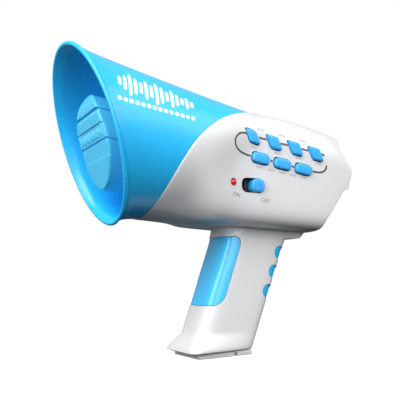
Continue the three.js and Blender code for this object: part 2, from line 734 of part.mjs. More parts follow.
function batteryDoor() {
  const corners = [[-21.5, -22.5], [21.5, -22.5], [18, 23.5], [-18, 23.5]];
  const outline = roundedOutline(corners, 4);
  const plate = new THREE.ExtrudeGeometry(outline, { depth: 3.6, bevelEnabled: false, curveSegments: 3 });
  const lip = gripSolid(GRIP_WALL + 0.5, 3, 7).intersect(box([-40, 40], [-60, 60], [3.2, 7]));
  const socket = gripSolid(GRIP_WALL + 2.2, 2, 10).intersect(box([-40, 40], [-60, 60], [4.6, 10]));
  let door = solid(plate).add(lip.subtract(socket));
  door = door.subtract(rodZ(3.2, -1, 1.8, 0, -15, 16)).subtract(rodZ(1.7, 1, 12, 0, -15, 12));
  const pryNotch = box([17, 30], [6.6, 9.2], [-1, 2.6]);
  return door.subtract(pryNotch);
}

function doorScrew() {
  return rodZ(2.8, 0.5, 1.5, 0, -15, 16).add(rodZ(1.3, 1, 9, 0, -15, 10));
}

// ---------------------------------------------------------------- wiring
function wireSolid(path, radius, count, sides) {
  const section = new THREE.Shape();
  for (let i = 0; i < sides; i += 1) {
    const turn = (i * 2 * Math.PI) / sides;
    const step = [radius * Math.cos(turn), radius * Math.sin(turn)];
    if (i === 0) section.moveTo(...step);
    else section.lineTo(...step);
  }
  section.closePath();
  return solid(new THREE.ExtrudeGeometry(section, { steps: count, extrudePath: path, bevelEnabled: false }));
}

function wire(points) {
  const path = new THREE.CatmullRomCurve3(points.map((point) => new THREE.Vector3(...point)));
  return wireSolid(path, 0.7, 14, 5);
}

// routes in the horn's frame: sideways, back along the axis, up
const WIRE_ROUTES = {
  speaker_wire_red: [[8, 89.2, -9], [9, 92, -11], [14, 95, -12], [21, 98, -12], [25.4, 100, -12]],
  speaker_wire_black: [[4, 89.2, -12], [5, 93, -15], [13, 97, -16], [21, 101, -16], [25.4, 104, -16]],
  mic_wire_red: [[2, 171.4, 2], [4, 166, 4], [12, 160, 6], [20, 158, 6], [25.4, 158, 6]],
  mic_wire_black: [[-2, 171.4, -2], [0, 164, -2], [10, 156, 0], [19, 152, 0], [25.4, 152, 0]],
  battery_wire_red: [[6, 143, -68], [6, 146, -57], [14, 140, -42], [18, 134, -29], [25.4, 132, -22]],
  battery_wire_black: [[-6, 143, -68], [-4, 147, -56], [8, 140, -38], [16, 129, -26], [25.4, 126, -22]],
};

// ---------------------------------------------------------------- assembly
addPart(hornFrame, 'horn_bell', hornBell(), BLUE);
addPart(hornFrame, 'horn_plug', hornPlug(), BLUE);
addPart(megaphone, 'body_shell_left', leftShell(), WHITE);
addPart(megaphone, 'body_shell_right', rightShell(), WHITE);
addPart(megaphone, 'front_grip_panel', frontGripPanel(), BLUE);
addPart(megaphone, 'rear_grip_strip', rearGripStrip(), BLUE);
addPart(hornFrame, 'mouthpiece_cap', mouthpieceCap(), BLUE);
addPart(hornFrame, 'mic_capsule', rodY(4.9, 173.5, 179.8, 0, 0, 20), STEEL);
addPart(hornFrame, 'mic_boot', micBoot(), BLACK);
for (let i = 0; i < 4; i += 1) {
  addPart(hornFrame, `effect_button_${i + 1}`, buttonPiece(effectOutline, i), BUTTON_BLUE);
}
for (let i = 0; i < 3; i += 1) {
  addPart(hornFrame, `melody_button_${i + 1}`, buttonPiece(melodyOutline, i), BUTTON_BLUE);
}
addPart(megaphone, 'power_slider', powerSlider(), BUTTON_BLUE);
addPart(hornFrame, 'slide_switch', slideSwitch(), BLACK);
addPart(hornFrame, 'power_led', powerLed(), RED_LENS);
addPart(hornFrame, 'button_membrane', buttonMembrane(), SILICONE);
addPart(hornFrame, 'main_board', mainBoard(), BOARD_GREEN);
addPart(hornFrame, 'sound_chip', box([BOARD_X - 2.3, BOARD_X - GAP], [132, 144], [4, 16]), BLACK);
addPart(hornFrame, 'filter_capacitor', rodX(3.1, BOARD_X - 11, BOARD_X - GAP, 112, 12, 18), BLACK);
BOARD_SCREWS.forEach(([s, w], i) => {
  const piece = rodX(2.4, BOARD_X - 2, BOARD_X - GAP, s, w, 14).add(rodX(1, BOARD_X - 1, 33.5, s, w, 10));
  addPart(hornFrame, `board_screw_${i + 1}`, piece, STEEL);
});
addPart(hornFrame, 'speaker_frame', speakerFrame(), STEEL);
addPart(hornFrame, 'speaker_cone', speakerCone(), PAPER);
addPart(hornFrame, 'speaker_magnet', speakerMagnet(), BLACK);
addPart(hornFrame, 'speaker_gasket', speakerGasket(), FOAM);
speakerScrewPlaces().forEach((place, i) => {
  addPart(hornFrame, `speaker_screw_${i + 1}`, speakerScrew(place), STEEL);
});
CELL_PLACES.forEach((place, i) => {
  addPart(gripFrame, `battery_cell_${i + 1}`, batteryCell(place), CELL_JACKET);
  addPart(gripFrame, `battery_spring_${i + 1}`, batterySpring(place), STEEL);
  addPart(gripFrame, `battery_contact_${i + 1}`, batteryContact(place), STEEL);
});
addPart(gripFrame, 'battery_cage', batteryCage(), BLACK);
addPart(megaphone, 'battery_door', batteryDoor(), WHITE);
addPart(megaphone, 'battery_door_screw', doorScrew(), STEEL);
POSTS.forEach(({ place, head }, i) => {
  const tip = head < -15 ? 11 : 9;
  addPart(megaphone, `housing_screw_${i + 1}`, screwAlongX(head, tip, ...place, 2.8, 1.35), STEEL);
});
for (const [name, route] of Object.entries(WIRE_ROUTES)) {
  addPart(hornFrame, name, wire(route), name.endsWith('red') ? RED_WIRE : BLACK_WIRE);
}

export default megaphone;
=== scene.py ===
# %% [markdown]
# # A toy voice-changer megaphone
# A blue horn with a plug over its loudspeaker, a glossy white body with a
# pistol grip, seven sound buttons, a power slider and a red lamp. The working
# model already holds every piece at its real size. This lesson keeps that model
# as a fixed frame and builds the fine, finished surfaces on it.

# %% Load the frame
import math

import bpy
from mathutils import Matrix, Vector


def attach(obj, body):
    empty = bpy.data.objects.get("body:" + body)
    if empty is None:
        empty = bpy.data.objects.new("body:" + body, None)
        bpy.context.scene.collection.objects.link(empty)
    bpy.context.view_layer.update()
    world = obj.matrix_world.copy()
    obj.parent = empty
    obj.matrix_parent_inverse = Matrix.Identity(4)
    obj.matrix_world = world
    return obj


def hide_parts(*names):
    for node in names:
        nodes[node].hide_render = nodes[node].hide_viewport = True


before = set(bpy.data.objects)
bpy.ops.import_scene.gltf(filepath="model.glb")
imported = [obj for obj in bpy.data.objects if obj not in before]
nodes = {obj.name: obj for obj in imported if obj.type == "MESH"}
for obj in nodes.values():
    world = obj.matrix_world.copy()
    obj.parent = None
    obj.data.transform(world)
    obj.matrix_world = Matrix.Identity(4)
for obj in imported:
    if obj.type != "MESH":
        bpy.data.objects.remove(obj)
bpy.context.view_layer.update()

MM = 0.001  # Blender works in metres, and this object is measured in millimetres

# %% [markdown]
# Operators act on everything that is selected, and a loaded model arrives
# selected, so each step first clears the selection.

# %% Select only what is being worked on
def deselect():
    if bpy.context.object and bpy.context.object.mode != "OBJECT":
        bpy.ops.object.mode_set(mode="OBJECT")
    bpy.ops.object.select_all(action="DESELECT")


def work_on(piece):
    deselect()
    bpy.context.view_layer.objects.active = piece
    piece.select_set(True)


# %% [markdown]
# ## Camera
# The camera stands low at the button side and a little in front, and looks
# slightly up, as a customer would hold the toy at arm's length. Its three axes
# are written out, which turns it without any guessing at angles.

# %% Camera
CAMERA_PLACE = Vector((0.4173, -0.2248, 0.0620))
CAMERA_RIGHT = Vector((0.459, 0.8876, -0.0263))
CAMERA_UP = Vector((0.110, -0.0271, 0.9938))
CAMERA_BACK = Vector((0.882, -0.4591, -0.1095))

deselect()
bpy.ops.object.camera_add(location=CAMERA_PLACE)
camera = bpy.context.object
camera.name = "camera"
turn = Matrix((CAMERA_RIGHT, CAMERA_UP, CAMERA_BACK)).transposed().to_quaternion()
camera.matrix_world = Matrix.Translation(CAMERA_PLACE) @ turn.to_matrix().to_4x4()
camera.data.sensor_width = 36
camera.data.lens = 56.8
camera.data.clip_start = 0.01
bpy.context.scene.camera = camera
print("camera at", tuple(round(v, 3) for v in camera.location))

# %% [markdown]
# ## Colours and nodes
# Colours are picked as sRGB hex values, and shaders want linear light, so one
# function converts them. A second small function adds a node, sets what it is
# told and links what it is given; every material below is built with it.

# %% Colour and node helpers
def colour(code):
    """#RRGGBB in sRGB to linear red, green, blue, alpha."""
    parts = [int(code[i:i + 2], 16) / 255 for i in (1, 3, 5)]
    linear = [c / 12.92 if c <= 0.04045 else ((c + 0.055) / 1.055) ** 2.4 for c in parts]
    return (*linear, 1.0)


def add_node(tree, kind, inputs=None, **settings):
    """A node with its settings; an input is given a value or another node's output."""
    node = tree.nodes.new(kind)
    for name, value in settings.items():
        setattr(node, name, value)
    for name, value in (inputs or {}).items():
        if isinstance(value, bpy.types.NodeSocket):
            tree.links.new(value, node.inputs[name])
        else:
            node.inputs[name].default_value = value
    return node


def noise(tree, at, size, detail=2.0):
    """Cloudy noise whose patches are about a size, in metres; gives 0 to 1."""
    inputs = {"Vector": at, "Scale": 1 / size, "Detail": detail}
    return add_node(tree, "ShaderNodeTexNoise", inputs).outputs["Fac"]


def two_tones(tree, share, first, second):
    inputs = {"Factor": share, "A": first, "B": second}
    return add_node(tree, "ShaderNodeMix", inputs, data_type="RGBA").outputs["Result"]


def ramp(tree, value, low, high, at_low, at_high, kind="LINEAR"):
    """A value between low and high, carried to the range at_low to at_high."""
    inputs = {"Value": value, "From Min": low, "From Max": high, "To Min": at_low, "To Max": at_high}
    return add_node(tree, "ShaderNodeMapRange", inputs, interpolation_type=kind).outputs[0]


def new_material(name):
    """An empty material, its tree and the object's own coordinates."""
    material = bpy.data.materials.new(name)
    material.use_nodes = True
    tree = material.node_tree
    tree.nodes.clear()
    return material, tree, add_node(tree, "ShaderNodeTexCoord").outputs["Object"]


# %% [markdown]
# ## Moulded plastic
# The shells, horn and buttons are injection-moulded ABS, polished in the mould:
# a hard clear reflection over an even colour. Up close the colour drifts a
# little where the melt flowed, the polish varies in soft patches a few
# millimetres wide, and the surface has a faint orange peel. Handling leaves
# hairline scratches in the polish. Along the edges a lighter tone is painted
# in, a painted highlight where a rounded edge would catch the light. The orange
# peel is drawn at 1.2 mm, coarser than the real grain, because finer would not show.

# %% Glossy moulded ABS
PEEL_SIZE = 0.0012
POLISH_SIZE = 0.009
FLOW_SIZE = 0.035
HAIRLINE_SIZE = 0.004
EDGE_WIDTH = 0.5 * MM


def moulded_abs(name, body, drift, edge_highlight_tone, roughness, peel=0.02):
    material, tree, at = new_material(name)
    base = two_tones(tree, noise(tree, at, FLOW_SIZE), colour(body), colour(drift))
    # a bevelled normal differs from the true one only near an edge, which is where the highlight is
    # painted
    rounded = add_node(tree, "ShaderNodeBevel", {"Radius": EDGE_WIDTH}, samples=4).outputs[0]
    true = add_node(tree, "ShaderNodeNewGeometry").outputs["Normal"]
    same = add_node(tree, "ShaderNodeVectorMath", {0: rounded, 1: true}, operation="DOT_PRODUCT")
    edge = ramp(tree, same.outputs["Value"], 0.98, 0.75, 0.0, 0.35)
    # painted highlight: the colour is mixed towards a lighter tone along the edges
    edge_highlighted = two_tones(tree, edge, base, colour(edge_highlight_tone))
    stretched = add_node(tree, "ShaderNodeMapping", {
        "Vector": at, "Rotation": (0.5, 0.3, 0.9), "Scale": (1.0, 1.0, 22.0)}).outputs[0]
    scratch = ramp(tree, noise(tree, stretched, HAIRLINE_SIZE), 0.6, 0.75, 0.0, 0.03)
    gloss = ramp(tree, noise(tree, at, POLISH_SIZE, 3.0), 0.3, 0.7, roughness - 0.02, roughness + 0.03)
    rough = add_node(tree, "ShaderNodeMath", {0: gloss, 1: scratch}, operation="ADD").outputs[0]
    bump = add_node(tree, "ShaderNodeBump", {
        "Height": noise(tree, at, PEEL_SIZE), "Normal": rounded, "Strength": peel, "Distance": 0.1 * MM})
    shader = add_node(tree, "ShaderNodeBsdfPrincipled", {
        "Base Color": edge_highlighted, "Roughness": rough, "Normal": bump.outputs[0], "IOR": 1.52})
    add_node(tree, "ShaderNodeOutputMaterial", {"Surface": shader.outputs[0]})
    return material


# the fourth colour of each is the lighter tone painted on its edges as a highlight
white_abs = moulded_abs("glossy_white_abs", "#DFDFE0", "#D9DADC", "#F4F4F4", 0.24)
horn_abs = moulded_abs("glossy_sky_blue_abs", "#2CC2FF", "#24BBFC", "#7FD2FF", 0.27)
# the plug and grip panel blues are lighter than the horn's: partly their own lighter shade, partly a
# painted sheen for the reflections their fronts catch
plug_abs = moulded_abs("satin_light_blue_abs", "#56D2FF", "#4CCBFC", "#9ADCFF", 0.32)
panel_abs = moulded_abs("glossy_grip_blue_abs", "#48C6FF", "#3EBFFA", "#8FD8FF", 0.22)
button_abs = moulded_abs("glossy_button_blue_abs", "#3DB6FB", "#33ACF4", "#8BD8FF", 0.26)
print("moulded plastics:", white_abs.name, horn_abs.name, button_abs.name)

# %% [markdown]
# ## The other finishes
# What is inside shows through the openings and once the battery door is off.
# Each finish starts from its everyday name. A single function serves them all:
# two close tones in a cloud of the right size, a gloss that varies, and a bump
# of the grain that the real surface has.

# %% Plain finishes by their everyday names
def cloudy(name, tone, second, size, roughness, bump_size, bump_depth, metallic=0.0):
    material, tree, at = new_material(name)
    cloud = noise(tree, at, size, 3.0)
    bump = add_node(tree, "ShaderNodeBump", {
        "Height": noise(tree, at, bump_size), "Strength": 0.5, "Distance": bump_depth})
    shader = add_node(tree, "ShaderNodeBsdfPrincipled", {
        "Base Color": two_tones(tree, cloud, colour(tone), colour(second)),
        "Roughness": ramp(tree, cloud, 0.0, 1.0, roughness - 0.08, roughness + 0.08),
        "Normal": bump.outputs[0], "Metallic": metallic})
    add_node(tree, "ShaderNodeOutputMaterial", {"Surface": shader.outputs[0]})
    return material


finishes = {
    # black ABS with a spark-eroded texture: keeps the slot's depths dark
    "black_plastic": cloudy("textured_black_abs", "#161617", "#1F1F21", 0.01, 0.5, 0.0006, 0.05 * MM),
    # foam and rubber: matt and open-celled
    "black_rubber": cloudy("black_foam_rubber", "#1A1A1A", "#262524", 0.004, 0.85, 0.0009, 0.15 * MM),
    # keypad silicone: soft, hazy grey
    "silicone": cloudy("keypad_silicone", "#B4B7BA", "#C3C5C7", 0.012, 0.6, 0.0012, 0.03 * MM),
    # glass-epoxy circuit board under green solder mask, with its woven grain
    "board_green": cloudy("green_solder_mask", "#245F31", "#2F7440", 0.006, 0.38, 0.0008, 0.02 * MM),
    # pressed paper cone: fibres in two browns
    "cone_paper": cloudy("pressed_cone_paper", "#2B2723", "#3A342D", 0.002, 0.85, 0.0007, 0.12 * MM),
    # zinc-plated steel: brushed by tumbling, so its grain is short and fine
    "steel": cloudy("zinc_plated_steel", "#A9ABAD", "#C4C6C8", 0.003, 0.34, 0.0008, 0.01 * MM, 1.0),
    # printed shrink sleeve on a dry cell
    "cell_jacket": cloudy("cell_shrink_sleeve", "#2E6A45", "#38784F", 0.015, 0.3, 0.002, 0.02 * MM),
    "wire_red": cloudy("red_pvc_insulation", "#A81C1C", "#B82A26", 0.004, 0.45, 0.001, 0.02 * MM),
    "wire_black": cloudy("black_pvc_insulation", "#161616", "#202020", 0.004, 0.45, 0.001, 0.02 * MM),
    # pad-printed ink: thin, slightly uneven, less shiny than the plastic under it
    "grey_ink": cloudy("grey_pad_print_ink", "#4A4B4D", "#585A5C", 0.002, 0.5, 0.0006, 0.01 * MM),
    "pale_ink": cloudy("pale_grey_pad_print_ink", "#8C8E91", "#9C9EA1", 0.002, 0.5, 0.0006, 0.01 * MM),
    "white_ink": cloudy("white_pad_print_ink", "#F4F8FB", "#E8F1F7", 0.003, 0.4, 0.0008, 0.01 * MM),
}
print(len(finishes), "plain finishes")

# %% [markdown]
# ## The megaphone's surfaces as formulas
# The horn is a gentle cone with an oval, slanted mouth, and the body behind it
# changes from that cone to a flat-sided box. Measured in the horn's own frame
# (sideways, back along the axis, up across it), each is one radius that depends
# on the angle around the axis and the station along it.

# %% Horn and body radius
HORN_TILT = math.radians(9.4)
MOUTH = Vector((0, -96, 157))
MOUTH_SLANT = math.tan(math.radians(25.2))
HORN_LENGTH = 125
THROAT_RADIUS = 46
SLEEVE_PROUD = 0.8  # the white sleeve stands this proud of the horn
BODY_HALF_WIDTH = 40
REAR_STATION = 188  # middle of the body's rear edge
REAR_LEAN = 0.16


def blend(low, high, value):
    t = min(max((value - low) / (high - low), 0), 1)
    return t * t * (3 - 2 * t)


def horn_radius(s):
    return THROAT_RADIUS + 8.2 * max((HORN_LENGTH - s) / HORN_LENGTH, 0) ** 1.25


def rim_radius(a):
    return 1 / math.hypot(math.cos(a) / 57.2, math.sin(a) / 58.8)


def mouth_station(a):
    return -rim_radius(a) * math.sin(a) * MOUTH_SLANT


def flared_radius(a, s):
    start = mouth_station(a)
    return horn_radius(s) + (rim_radius(a) - horn_radius(start)) * math.exp(-(s - start) / 7)


def sleeve_front(a):
    height = (THROAT_RADIUS + 2.5 * (1 - math.sin(a))) * math.sin(a)
    return 44 + 17 * math.exp(height / 28)


def top_height(s):
    run = max(s - HORN_LENGTH, 0)
    return horn_radius(s) + SLEEVE_PROUD - 0.02 * run - 3.2 * (run / 80) ** 2


def bottom_height(s):
    level = 90  # behind this station the underside rises
    return horn_radius(min(s, level)) + SLEEVE_PROUD - 0.1 * max(s - level, 0)


def body_radius(a, s):
    flat, tail = blend(55, 120, s), blend(180, 205, s)
    width = (horn_radius(s) + SLEEVE_PROUD) * (1 - flat) + (BODY_HALF_WIDTH - tail) * flat
    above = math.sin(a) > 0
    height = top_height(s) if above else bottom_height(s)
    power = 2 + (1.2 if above else 5) * blend(60, 120, s) - 0.2 * tail  # crisp lower edges
    across = (abs(math.cos(a)) / width) ** power + (abs(math.sin(a)) / height) ** power
    return across ** (-1 / power)


def sleeve_radius(a, s):
    away = blend(0, 45, s - sleeve_front(a))
    return (horn_radius(s) + SLEEVE_PROUD) * (1 - away) + body_radius(a, s) * away


def sleeve_rear(a):
    """A leaning plane with a cheek that stands out on each side."""
    height = body_radius(a, REAR_STATION) * math.sin(a)
    lower = 10.5 * (1 - min(max((-4 - height) / 27, 0), 1)) if height < -4 else 0
    upper = 14 * (1 - min(max((height - 12.5) / 14.5, 0), 1)) if height >= -4 else 0
    return REAR_STATION + REAR_LEAN * height + lower + upper


def horn_point(x, s, w):
    """A point of the horn's frame, in millimetres, as a place in metres."""
    y = MOUTH.y + s * math.cos(HORN_TILT) + w * math.sin(HORN_TILT)
    z = MOUTH.z - s * math.sin(HORN_TILT) + w * math.cos(HORN_TILT)
    return Vector((x, y, z)) * MM


def around_horn(a, radius, s):
    return horn_point(radius * math.cos(a), s, radius * math.sin(a))


print("mouth rim", [round(v, 4) for v in around_horn(math.pi / 2, rim_radius(0), 0)])

# %% [markdown]
# ## Bending a grid into a piece
# A grid primitive is a sheet of squares. Carry each of its rows to a ring of
# the wanted shape and weld the seam, and it becomes a tube, a cup or, where the
# last ring meets the first, a closed wall. It is the one way to give every
# ring its own outline, so the large curved pieces start like this.

# %% Rings to a welded surface
TURN = 2 * math.pi


def through_rings(name, rings):
    """One grid row for each ring; a ring is a list of points whose last one closes it."""
    deselect()
    columns, rows = len(rings[0]) - 1, len(rings) - 1
    bpy.ops.mesh.primitive_grid_add(x_subdivisions=columns, y_subdivisions=rows, size=1)
    piece = bpy.context.object
    piece.name = piece.data.name = name
    for vertex in piece.data.vertices:
        across, along = vertex.co.x + 0.5, vertex.co.y + 0.5
        vertex.co = rings[round(along * rows)][round(across * columns)]
    bpy.ops.object.mode_set(mode="EDIT")
    bpy.ops.mesh.select_all(action="SELECT")
    bpy.ops.mesh.remove_doubles(threshold=1e-6)
    bpy.ops.mesh.normals_make_consistent(inside=False)
    bpy.ops.object.mode_set(mode="OBJECT")
    return piece


def ring(columns, radius, station):
    """A ring about the horn's axis; radius and station are functions of the angle."""
    angles = [TURN * (i % columns) / columns for i in range(columns + 1)]
    return [around_horn(a, radius(a), station(a)) for a in angles]


def smooth(piece, degrees=35):
    work_on(piece)
    bpy.ops.object.shade_smooth_by_angle(angle=math.radians(degrees))
    return piece


def apply_all(piece):
    work_on(piece)
    for modifier in list(piece.modifiers):
        bpy.ops.object.modifier_apply(modifier=modifier.name)
    return piece


def settle(piece):
    """Place, turn and size go into the mesh, so that the object sits at the origin."""
    work_on(piece)
    bpy.ops.object.transform_apply(location=True, rotation=True, scale=True)
    return piece


def join(pieces, name):
    deselect()
    for piece in pieces:
        piece.select_set(True)
    bpy.context.view_layer.objects.active = pieces[0]
    if len(pieces) > 1:
        bpy.ops.object.join()
    pieces[0].name = pieces[0].data.name = name
    return pieces[0]


def boolean(piece, tool, operation="DIFFERENCE"):
    modifier = piece.modifiers.new(operation.lower(), "BOOLEAN")
    modifier.operation = operation
    modifier.solver = "MANIFOLD"
    modifier.object = tool
    apply_all(piece)
    bpy.data.objects.remove(tool)
    return piece


def box(name, place, size):
    """A block of a size in millimetres; the place is a matrix in metres."""
    deselect()
    bpy.ops.mesh.primitive_cube_add(size=1)
    piece = bpy.context.object
    piece.name = piece.data.name = name
    piece.matrix_world = place @ Matrix.Diagonal((*(v * MM for v in size), 1))
    return settle(piece)


def bevel_edges(piece, width, segments):
    """Every edge of a piece that is selected as a whole."""
    work_on(piece)
    bpy.ops.object.mode_set(mode="EDIT")
    bpy.ops.mesh.select_all(action="SELECT")
    bpy.ops.mesh.bevel(offset=width * MM, segments=segments, affect="EDGES")
    bpy.ops.object.mode_set(mode="OBJECT")
    return piece


def at_place(x, y, z):
    return Matrix.Translation(Vector((x, y, z)) * MM)


def copy_of(piece, name):
    double = piece.copy()
    double.data = piece.data.copy()
    double.name = double.data.name = name
    bpy.context.scene.collection.objects.link(double)
    return double


def finish_piece(piece, material, stands_for=(), body="housing"):
    """The finish, the frame parts that the piece hides, and the body that carries the piece."""
    if material is not None:
        piece.data.materials.clear()
        piece.data.materials.append(material)
    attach(piece, body)
    if stands_for:
        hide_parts(*stands_for)
    triangles = sum(len(face.vertices) - 2 for face in piece.data.polygons)
    print(f"{piece.name}: {triangles} triangles")
    return piece


# %% [markdown]
# ## Horn
# On the real toy the horn is one moulding: a wall of about 3 mm with a rounded
# bead at the mouth, a shallow groove behind the bead, a skirt that slips under
# the white body and a floor that carries the loudspeaker. One closed run of
# rings makes all of that without a seam.

# %% Horn bell
HORN_COLUMNS = 160
HORN_WALL = 3.2
BEAD = 1.6
# distance behind the mouth's edge, and depth under the outer surface
BEHIND_BEAD = [(1.6, 0), (2.6, 0.05), (3.0, 0.45), (3.4, 0.62), (3.8, 0.45),
               (4.3, 0.08), (5.2, 0), (7, 0), (10, 0), (14, 0)]
SKIRT = 1.6  # how far the hidden skirt is set in under the white sleeve
FLOOR_FRONT = 66  # the floor that carries the loudspeaker, and its round opening
FLOOR_BACK = 68.5
FLOOR_OPENING = 21


def horn_edge(a):
    return sleeve_front(a) - 0.3


def horn_tail(a):
    return max(sleeve_front(a) + 6, 72)


def horn_rings():
    rings = []
    for i in range(9):
        t = math.pi * i / 8
        depth, back = BEAD * (1 + math.cos(t)), 1.6 - BEAD * math.sin(t)
        rings.append((lambda a, d=depth: flared_radius(a, mouth_station(a)) - d,
                      lambda a, b=back: mouth_station(a) + b))
    for back, depth in BEHIND_BEAD:
        rings.append((lambda a, b=back, d=depth: flared_radius(a, mouth_station(a) + b) - d,
                      lambda a, b=back: mouth_station(a) + b))
    for i in range(1, 21):
        def station(a, f=i / 20):
            return (mouth_station(a) + 14) * (1 - f) + horn_edge(a) * f
        rings.append((lambda a, at=station: flared_radius(a, at(a)), station))
    rings.append((lambda a: flared_radius(a, horn_edge(a)) - SKIRT, horn_edge))
    rings.append((lambda a: horn_radius(horn_tail(a)) - SKIRT, horn_tail))
    rings.append((lambda a: horn_radius(horn_tail(a)) - HORN_WALL, horn_tail))
    rings.append((lambda a: horn_radius(FLOOR_BACK) - HORN_WALL, lambda a: FLOOR_BACK))
    rings.append((lambda a: FLOOR_OPENING, lambda a: FLOOR_BACK))
    rings.append((lambda a: FLOOR_OPENING, lambda a: FLOOR_FRONT))
    rings.append((lambda a: horn_radius(FLOOR_FRONT) - HORN_WALL - 1.5, lambda a: FLOOR_FRONT))
    rings.append((lambda a: horn_radius(FLOOR_FRONT) - HORN_WALL, lambda a: 64.5))
    for i in range(1, 24):
        def station(a, f=i / 24):
            return 64.5 * (1 - f) + (mouth_station(a) + 1.6) * f
        rings.append((lambda a, at=station: flared_radius(a, at(a)) - HORN_WALL, station))
    rings.append(rings[0])
    return [ring(HORN_COLUMNS, radius, station) for radius, station in rings]


horn = through_rings("horn", horn_rings())
smooth(horn, 40)
finish_piece(horn, horn_abs, ["horn_bell"])

# %% [markdown]
# ## Plug
# An oval cup covers the loudspeaker and lets the sound out round its foot. It is
# built as a stack of level slices, because its details are level too: a domed
# head above a groove, a bevel, a framed band of upright ribs, a second groove
# and a fine ledge low down. Each slice is a rectangle with rounded front corners.

# %% Plug
PLUG_MIDDLE = -3.5
PLUG_HALF_WIDTH = 28
PLUG_HALF_HEIGHT = 31.6
PLUG_BACK = 65.7
PLUG_SLOPE = 0.42  # the front leans back towards the top
EDGES = (14.5, 13.4, 10.6, 4.4, -5.2, -6.3, -16.6)  # heights where the front steps


def plug_relief(w):
    """How far the front lies behind its plain slanted plane, at height w."""
    if w > 14.5:
        return 0.7 + 0.03 * (w - 14.5) ** 2
    if w > 13.4:
        return 2.4
    if w > 10.6:
        return 1.5 * (w - 10.6) / 2.8
    if w > 4.4:
        return 0
    if w > -5.2:
        return 0.7
    if w > -6.3:
        return 1.9
    if w > -16.6:
        return 0.9
    return 0


def plug_plane(w):
    return 5 - PLUG_SLOPE * (w - PLUG_MIDDLE)


def plug_slice(w, inset, relief):
    height = (w - PLUG_MIDDLE) / PLUG_HALF_HEIGHT
    width = max(PLUG_HALF_WIDTH * math.sqrt(max(1 - height * height, 0)) - inset, 0.02)
    front = plug_plane(w) + relief
    corner = min(1.9, width * 0.7)
    points = []
    for side in (1, -1):
        depth = front + corner - PLUG_BACK
        half = [(width, PLUG_BACK + depth * t) for t in (0, 0.25, 0.5, 0.75, 0.92)]
        for i in range(9):
            t = math.pi / 2 * i / 8
            half.append((width - corner * (1 - math.cos(t)), front + corner * (1 - math.sin(t))))
        half += [((width - corner) * (1 - i / 6), front) for i in range(1, 6)]
        if side == -1:
            half = [(-x, s) for x, s in reversed(half)]
        points += half
    points.append(points[0])
    return [horn_point(x, s, w) for x, s in points]


def plug_levels():
    levels = []
    for i in range(49):
        t = -math.pi / 2 + math.pi * i / 48
        levels.append(PLUG_MIDDLE + PLUG_HALF_HEIGHT * math.sin(t))
    for edge in EDGES:
        levels += [edge - 0.06, edge + 0.06]
    return sorted(levels)


def plug_inset(w):
    """The two grooves run round the sides too."""
    return 1.0 if 13.4 < w < 14.5 or -6.3 < w < -5.2 else 0


slices = [plug_slice(w, plug_inset(w), plug_relief(w)) for w in plug_levels()]
plug = through_rings("plug", slices)
print("plug has", len(slices), "slices")


# %% [markdown]
# The band's ribs are one small rounded bar, copied side by side. They stand on
# the recessed band and follow its slope, inside a raised frame.

# %% Ribs on the plug's band
def horn_place():
    return Matrix.Translation(MOUTH * MM) @ Matrix.Rotation(-HORN_TILT, 4, "X")


def rounded_bar(name, size, centre, bevel, turn=0.0):
    """A bar in the horn's frame, in millimetres, with its edges bevelled."""
    place = horn_place() @ at_place(*centre) @ Matrix.Rotation(turn, 4, "X")
    return bevel_edges(box(name, place, size), bevel, 2)


def band_front(w):
    return plug_plane(w) + plug_relief(w)


BAND_LEAN = math.atan(PLUG_SLOPE)
RIB_COUNT = 13
RIB_PITCH = 3.25
ribs = []
for i in range(RIB_COUNT):
    x = RIB_PITCH * (i - (RIB_COUNT - 1) / 2)
    tall = 6.2 if i % 3 else 4.6
    centre = (x, band_front(-0.6) - 0.05, -0.6)
    ribs.append(rounded_bar("rib", (1.5, 1.1, tall), centre, 0.25, BAND_LEAN))
for x in (-24.2, 24.2):
    centre = (x, band_front(-0.4) - 0.1, -0.4)
    ribs.append(rounded_bar("frame_end", (0.7, 1.3, 9.2), centre, 0.2, BAND_LEAN))
plug = join([plug, *ribs], "plug")
smooth(plug, 30)
finish_piece(plug, plug_abs, ["horn_plug"])

# %% [markdown]
# ## Grip surface
# Every level cut through the grip is a box with rounded corners. The front and
# back lines rake forward to the foot, the toe spreads at the bottom and the neck
# spreads under the body, so the level decides the outline.

# %% Grip outline
GRIP_BOTTOM = 4
GRIP_TOP = 104
GRIP_COLUMNS = 128
GRIP_HALF_WIDTH = 19
FOOT_HALF_WIDTH = 26
FRONT_RAKE = 0.376
BACK_RAKE = 0.415
TOE_BOTTOM = 6
TOE_HEIGHT = 10
TOE_REACH = 3.9


def grip_front(z):
    return -26.7 + FRONT_RAKE * z


def grip_back(z):
    return 23 + BACK_RAKE * z


def grip_point(a, z, inset):
    toe, neck = 1 - min(max((z - TOE_BOTTOM) / TOE_HEIGHT, 0), 1), blend(78, 100, z)
    front = grip_front(z) - TOE_REACH * toe - 1.5 * neck + inset
    back = grip_back(z) + 2 * neck - inset
    half_width, half_depth = GRIP_HALF_WIDTH + 0.6 * neck - inset, (back - front) / 2
    power = 4.5 + 4 * toe if math.sin(a) < 0 else 7  # rounded front corners, crisp rear ones
    across = (abs(math.cos(a)) / half_width) ** power + (abs(math.sin(a)) / half_depth) ** power
    reach = across ** (-1 / power)
    y = (front + back) / 2 + reach * math.sin(a)
    spread = (FOOT_HALF_WIDTH / GRIP_HALF_WIDTH - 1) * toe * (back - y) / (back - front)
    return Vector((reach * math.cos(a) * (1 + spread), y, z)) * MM


def grip_ring(z, inset):
    angles = [TURN * (i % GRIP_COLUMNS) / GRIP_COLUMNS for i in range(GRIP_COLUMNS + 1)]
    return [grip_point(a, z, inset) for a in angles]


def grip_middle(z):
    return [Vector((0, (grip_front(z) + grip_back(z)) / 2, z)) * MM] * (GRIP_COLUMNS + 1)


